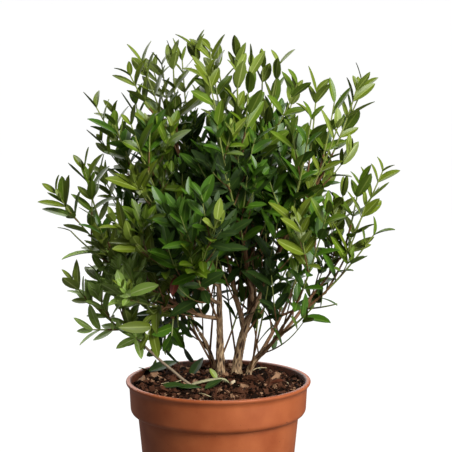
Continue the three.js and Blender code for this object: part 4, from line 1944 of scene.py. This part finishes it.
    def add_leader(self, foot: Point, tip: Point, spray: float, bare: float) -> None:
        """Add a long shoot that bows out on its way to its tip.

        Args:
            foot: Where it leaves its stem.
            tip: Where it ends.
            spray: The number of its spray.
            bare: The share of its length that has no leaves.
        """
        bend = mix(foot, tip, 0.5) + (tip - foot) * np.array(self.leader_bow)
        limb = Limb(foot, bend, tip, self.leader_radii)
        self.shoots.append(Shoot(limb, spray, bare, self.leader_spacing, leader=True))

    def grow_mass(self, number: int, stem: Limb) -> None:
        """Grow a mass's twigs from its stem, each with a twiglet.

        Args:
            number: The mass's number, which seeds its rule.
            stem: The mass's stem.
        """
        self.shoots.append(Shoot(stem, number, self.mass_bare, self.leader_spacing, leader=True))
        for i in range(self.twigs):
            share = i / (self.twigs - 1)
            spray = number + self.spray_step * (i + 1)
            at = mix(*self.twig_span, share)
            growth = self.growth(self.twig_rule, number, i, at, 1 - self.twig_shortening * share)
            twig = self.add_shoot(stem, growth, spray)
            if twig is None:
                continue
            turn = growth.turn + chance(number, i, 0, 7)
            length = growth.length * self.twiglet_share * mix(*self.twiglet_lengths, chance(number, i, 0, 8))
            thick = growth.radii[1]
            radii = (thick, thick * self.twiglet_taper)
            self.add_shoot(twig, Growth(self.twiglet_at, turn, growth.lean, length, radii), spray)

    def grow_bough(self, number: int, bough: Limb) -> None:
        """Grow the shoots that fill the crown's heart from a bough.

        Args:
            number: The bough's number, which seeds its rule.
            bough: The bough.
        """
        for i in range(self.bough_shoots):
            at = mix(*self.bough_span, (i + 1) / self.bough_shoots)
            growth = self.growth(self.bough_rule, number, i, at)
            self.add_shoot(bough, growth, number + self.spray_step * i)

    def grow_stem(self, number: int, stem: Limb) -> None:
        """Grow the thin twigs, bare but for their tips, that rise among the stems.

        Args:
            number: The stem's number, which seeds its rule.
            stem: The stem.
        """
        for i in range(self.stem_twigs):
            at = mix(*self.stem_span, i / self.stem_twigs)
            limb = self.shoot_from(stem, self.growth(self.stem_rule, number, i, at))
            spray = number + self.spray_step * i
            self.shoots.append(Shoot(limb, spray, self.stem_twig_bare, self.leaf_spacing))

    def grow_crest(self, number: int, stem: Limb) -> None:
        """Grow the leader that stands beside a high mass's own tip.

        Args:
            number: The mass's number, which seeds its rule.
            stem: The mass's stem.
        """
        turn = 2 * math.pi * chance(number, 0, 27)
        away = self.crest_step * mix(*self.crest_steps, chance(number, 0, 28))
        drop = self.crest_drop * chance(number, 0, 29)
        tip = stem.tip + np.array([math.cos(turn), math.sin(turn), -drop]) * away
        if self.is_open(tip, self.outline):
            self.add_leader(stem.point(self.crest_foot), tip, number + self.crest_spray, self.crest_bare)

    def grow_leader(self, number: int, leader: Leader, stem: Limb) -> None:
        """Grow a leader from a mass's stem to its own tip.

        Args:
            number: The leader's number.
            leader: Where it leaves the stem and where its last leaves end.
            stem: The mass's stem.
        """
        foot, tip = stem.point(leader.at), np.array(leader.tip, float)
        tip = tip - unit(tip - foot) * self.leaf_length / 2
        self.add_leader(foot, tip, number, self.leader_bare)

    def add_single(self, root: Point, way: Triple, size: Range, kind: LeafKind) -> None:
        """Stand one leaf on a limb, with its face turned to the light.

        Args:
            root: Where its stalk is.
            way: The way it points.
            size: Its length and width.
            kind: Its kind.
        """
        along = unit(np.array(way))
        normal = squared_to(np.array(self.window), along)
        self.leaves[kind].append(Leaf(root, along, normal, *size, *self.single_bends))

    def light_at(self, point: Point) -> float:
        """How much light reaches a point, from 0 in the crown's heart to 1 at its sides and top."""
        middle = (self.outline.foot + self.outline.top) / 2
        return self.outline.depth(np.array([point[0], point[1], max(point[2], middle)]))

    def kind_of(self, root: Point, shoot: Shoot, share: float) -> LeafKind:
        """The kind of a leaf, by its spray, its place in the crown and its place on its shoot: its place in
        the crown deals out painted light and shade.

        Args:
            root: Where the leaf's stalk is.
            shoot: Its shoot.
            share: Its place among the shoot's leaves, from 0 to 1.

        Returns:
            The kind.
        """
        spray, height = shoot.spray, root[2] / self.outline.top
        near = 1 - np.linalg.norm(root - np.array(self.painted_light_spot)) / self.painted_light_reach
        painted_light = self.painted_light_gain * max(0.0, near)
        # Painted light and shade: sprays near the crown's sides and top get lighter greens and those deep
        # inside get darker ones. front_share counts the front and back as deeper in, so the middle of the
        # front is painted darker.
        light = self.light_at(root * (1, self.front_share, 1)) + self.spray_light * sway(spray, 11)
        light += self.height_light * (height - 0.5)
        tip_share, tip_light, young_sprays = self.young_tips
        young_tip = share > tip_share and light > tip_light and chance(spray, 12) < young_sprays
        # In the painted-light spot the leaves take the brightest and the young greens: painted light where
        # the crown shades them.
        if painted_light > mix(*self.painted_light_from, chance(spray, 17)):
            return LeafKind.PAINTED_LIGHT
        if painted_light > self.painted_young_from * chance(spray, 16) or young_tip:
            return LeafKind.YOUNG_AND_PAINTED_LIGHT
        if light + painted_light > self.sunlit_from:
            return LeafKind.SUNLIT
        if light > self.grown_from:
            return LeafKind.GROWN
        # The darkest rung is painted shade, for the crown's heart.
        return LeafKind.SHADED if light > self.shaded_from else LeafKind.PAINTED_SHADE

    def dropped_at(self, root: Point) -> float:
        """The share of leaves that the dark heart and the openings have lost at a point.

        Args:
            root: The point.

        Returns:
            The share, from 0 to 1.
        """
        most, dark = self.bare_heart
        shade = max(0.0, 1 - self.light_at(root) / dark)
        heart = most * shade if root[2] > self.clearing[2] else 0.0
        return max(heart, self.openness(root) * self.opening_leaves)

    def add_pair(self, shoot: Shoot, t: float, share: float, turn: float, key: tuple[int, ...]) -> None:
        """Add an opposite pair of leaves to a shoot.

        Args:
            shoot: The shoot.
            t: The share of the shoot's length where the pair sits.
            share: The pair's place among the shoot's leaves, from 0 to 1.
            turn: The first leaf's turn round the shoot.
            key: What seeds the pair.
        """
        side, square = shoot.limb.across(t)
        tangent, root = shoot.limb.tangent(t), shoot.limb.point(t)
        near_tip = max(0.0, share - self.tip_start) / (1 - self.tip_start)
        size = mix(*self.leaf_sizes, math.sin(math.pi * share))
        size *= 1 - self.tip_shrinks[shoot.leader] * near_tip
        light = np.array(self.window) + self.leaf_outward * unit(root * (1, 1, 0) + NEARLY_STRAIGHT)
        dropped = self.dropped_at(root)
        turn_sway, lean_sway = self.leaf_sways
        for half in (0, 1):
            own = (*key, half)
            angle = turn + math.pi * half + turn_sway * sway(*own, 4)
            lean = math.radians(mix(*self.leaf_spread, share) + lean_sway * sway(*own, 5))
            out = side * math.cos(angle) + square * math.sin(angle)
            along = unit(tangent * math.cos(lean) + out * math.sin(lean) + UP * self.leaf_lift)
            face = tangent * math.sin(lean) - out * math.cos(lean) + light * self.leaf_light_turn
            stretch = mix(*self.leaf_lengths, chance(*own, 6))
            length = self.leaf_length * size * stretch
            width = self.leaf_width * size * math.sqrt(stretch) * mix(*self.leaf_widths, chance(*own, 7))
            if not self.is_open(root + along * length, self.outline) or chance(*own, 15) < dropped:
                continue
            fold = mix(*self.leaf_folds, chance(*own, 8))
            curl = mix(*self.leaf_curls, chance(*own, 9))
            twist = self.leaf_twist * sway(*own, 10)
            leaf = Leaf(root, along, squared_to(face, along), length, width, fold, curl, twist)
            self.leaves[self.kind_of(root, shoot, share)].append(leaf)

    def add_leaves(self, number: int, shoot: Shoot) -> None:
        """Set a shoot with pairs of leaves.

        Each pair is a quarter turn on from the last, but a leader's pairs spread out flat like a fan.

        Args:
            number: The shoot's number, which seeds its leaves.
            shoot: The shoot.
        """
        pairs = max(2, round((1 - shoot.bare) * shoot.limb.length / shoot.spacing))
        for pair in range(pairs + 1):
            share = pair / pairs
            t = mix(shoot.bare, 1.0, 1 - (1 - share) ** self.tip_crowding)
            turn = pair * math.pi / 2 + 2 * math.pi * chance(number, 13)
            if shoot.leader:
                turn = self.leader_fan * (-1) ** pair
            self.add_pair(shoot, t, share, turn, (number, pair))

    def grow(self, skeleton: Skeleton) -> None:
        """Grow every shoot and every leaf. A shoot's number follows from the order that they grow in.

        Args:
            skeleton: The limbs that they grow from.
        """
        for number, stem in enumerate(skeleton.masses.values(), 1):
            self.grow_mass(number, stem)
            if stem.tip[2] > self.crest_height:
                self.grow_crest(number, stem)
        for number, bough in enumerate(skeleton.boughs.values(), self.first_bough):
            self.grow_bough(number, bough)
        for number, stem in enumerate(skeleton.stems.values(), self.first_stem):
            self.grow_stem(number, stem)
        # The low rosette takes the brightest green: painted light where the crown shades it.
        for way in self.rosette_ways:
            self.add_single(skeleton.low_limbs["low_limb"].tip, way, self.rosette_size, LeafKind.PAINTED_LIGHT)
        sprout = skeleton.low_limbs["low_foot"].point(self.sprout_at)
        self.add_single(sprout, self.sprout_way, self.sprout_size, LeafKind.YOUNG_AND_PAINTED_LIGHT)
        withered = skeleton.masses["waist_front_left"].point(self.withered_at)
        self.add_single(withered, self.withered_way, self.withered_size, LeafKind.WITHERED)
        for number, leader in enumerate(LEADERS, self.first_leader):
            self.grow_leader(number, leader, skeleton.masses[leader.mass])
        for number, shoot in enumerate(self.shoots, 1):
            self.add_leaves(number, shoot)

    def build(self, skeleton: Skeleton) -> None:
        """Build the twigs and the leaves, each kind in pieces of its own.

        Args:
            skeleton: The limbs that they grow from.
        """
        self.grow(skeleton)
        nodes = list(skeleton.masses)
        woody = [shoot.limb.part(0, self.woody_share) for shoot in self.shoots]
        green = [shoot.limb.part(self.woody_share, 1) for shoot in self.shoots]
        twigs = tubes("twigs_russet", woody, self.woody_sides, self.woody_sides)
        new_piece("twigs_russet", twigs, [TWIG_RIND.material()], "bark", *nodes)
        tips = tubes("shoots_green", green, self.green_sides, self.green_sides)
        new_piece("shoots_green", tips, [SHOOT_RIND.material()], "foliage", *nodes)
        for kind, leaves in self.leaves.items():
            for part, first in enumerate(range(0, len(leaves), self.leaves_per_piece), 1):
                some = leaves[first : first + self.leaves_per_piece]
                LeafShape().build(f"leaves_{kind.value}_{part}", kind, some, "foliage", *nodes)


# The studio


@dataclass(frozen=True)
class Lamp:
    """A soft square lamp, by where it stands, its side and its power."""

    name: str
    place: Triple
    side: float
    power: float


@dataclass(frozen=True)
class Studio:
    """A pale floor, soft lamps and a camera where the photograph was taken."""

    focal_px: float = 1500.0
    picture_px: float = 452.0
    sensor_mm: float = 36.0
    camera_mm: Triple = (7.93, -1511.89, 517.61)
    pitch: float = 7.308
    view_depth: float = 50.0
    floor_radius: float = 5.0
    floor_gap: float = 0.2
    floor_sides: int = 96
    dome_segments: tuple[int, int] = (48, 24)
    ambient: float = 0.2
    aim: Triple = (0.0, 0.0, 0.28)
    lamps: tuple[Lamp, ...] = (
        Lamp("key_lamp", (0.95, -1.3, 1.4), 1.0, 62),
        Lamp("reflector", (1.25, -1.0, 0.25), 1.2, 11),
        Lamp("back_lamp", (-0.6, 1.7, 1.5), 2.2, 52),
    )

    def build_camera(self) -> None:
        """Stand the camera level with the crown and look a little down."""
        lens = bpy.data.cameras.new("camera")
        lens.sensor_width = self.sensor_mm
        lens.lens = self.sensor_mm * self.focal_px / self.picture_px
        lens.clip_end = self.view_depth
        camera = bpy.data.objects.new("camera", lens)
        camera.location = Vector(self.camera_mm) * MM
        camera.rotation_euler = (math.radians(90 - self.pitch), 0, 0)
        bpy.context.scene.collection.objects.link(camera)
        bpy.context.scene.camera = camera

    def build_lamps(self) -> None:
        """Hang the lamps and set the room's own faint light."""
        for lamp in self.lamps:
            light = bpy.data.lights.new(lamp.name, "AREA")
            light.energy, light.size = lamp.power, lamp.side
            hung = bpy.data.objects.new(lamp.name, light)
            hung.location = lamp.place
            hung.rotation_euler = (Vector(self.aim) - hung.location).to_track_quat("-Z", "Y").to_euler()
            bpy.context.scene.collection.objects.link(hung)
        world = bpy.data.worlds.new("room")
        world.use_nodes = True
        glow = world.node_tree.nodes["Background"]
        glow.inputs["Strength"].default_value = self.ambient
        glow.inputs["Color"].default_value = linear(WHITE)
        bpy.context.scene.world = world
        bpy.context.scene.view_settings.view_transform = "Standard"

    def add_set(self, name: str, shape: bmesh.types.BMesh, finish: Finish) -> None:
        """Add a piece of the set, which is seen but throws no light back on the object.

        Args:
            name: The piece's name.
            shape: Its shape.
            finish: What it is made of.
        """
        piece = bpy.data.objects.new(name, mesh_of(name, shape))
        piece.data.materials.append(finish.material())
        piece.visible_diffuse = False
        piece.visible_glossy = False
        piece.visible_shadow = False
        bpy.context.scene.collection.objects.link(piece)

    def build(self) -> None:
        """Build the camera, the lamps and the set."""
        self.build_camera()
        self.build_lamps()
        card = bmesh.new()
        place = Matrix.Translation((0, 0, -self.floor_gap * MM))
        bmesh.ops.create_circle(
            card, cap_ends=True, segments=self.floor_sides, radius=self.floor_radius, matrix=place
        )
        self.add_set("studio_floor", card, CARD)
        dome = bmesh.new()
        turns, rows = self.dome_segments
        bmesh.ops.create_uvsphere(dome, u_segments=turns, v_segments=rows, radius=self.floor_radius)
        bmesh.ops.reverse_faces(dome, faces=dome.faces)
        self.add_set("studio_backdrop", dome, BACKDROP)


def main() -> None:
    """Build the studio, the pot, the compost, the wood and the crown, in that order."""
    logging.basicConfig(level=logging.INFO, format="%(name)s: %(message)s")
    Studio().build()
    pot = Pot()
    pot.build()
    Compost().build(pot)
    skeleton = Skeleton()
    Woodwork().build(skeleton)
    crown = Crown()
    crown.build(skeleton)
    log.info("%d shoots, %d leaves", len(crown.shoots), sum(map(len, crown.leaves.values())))


if __name__ == "__main__":
    main()
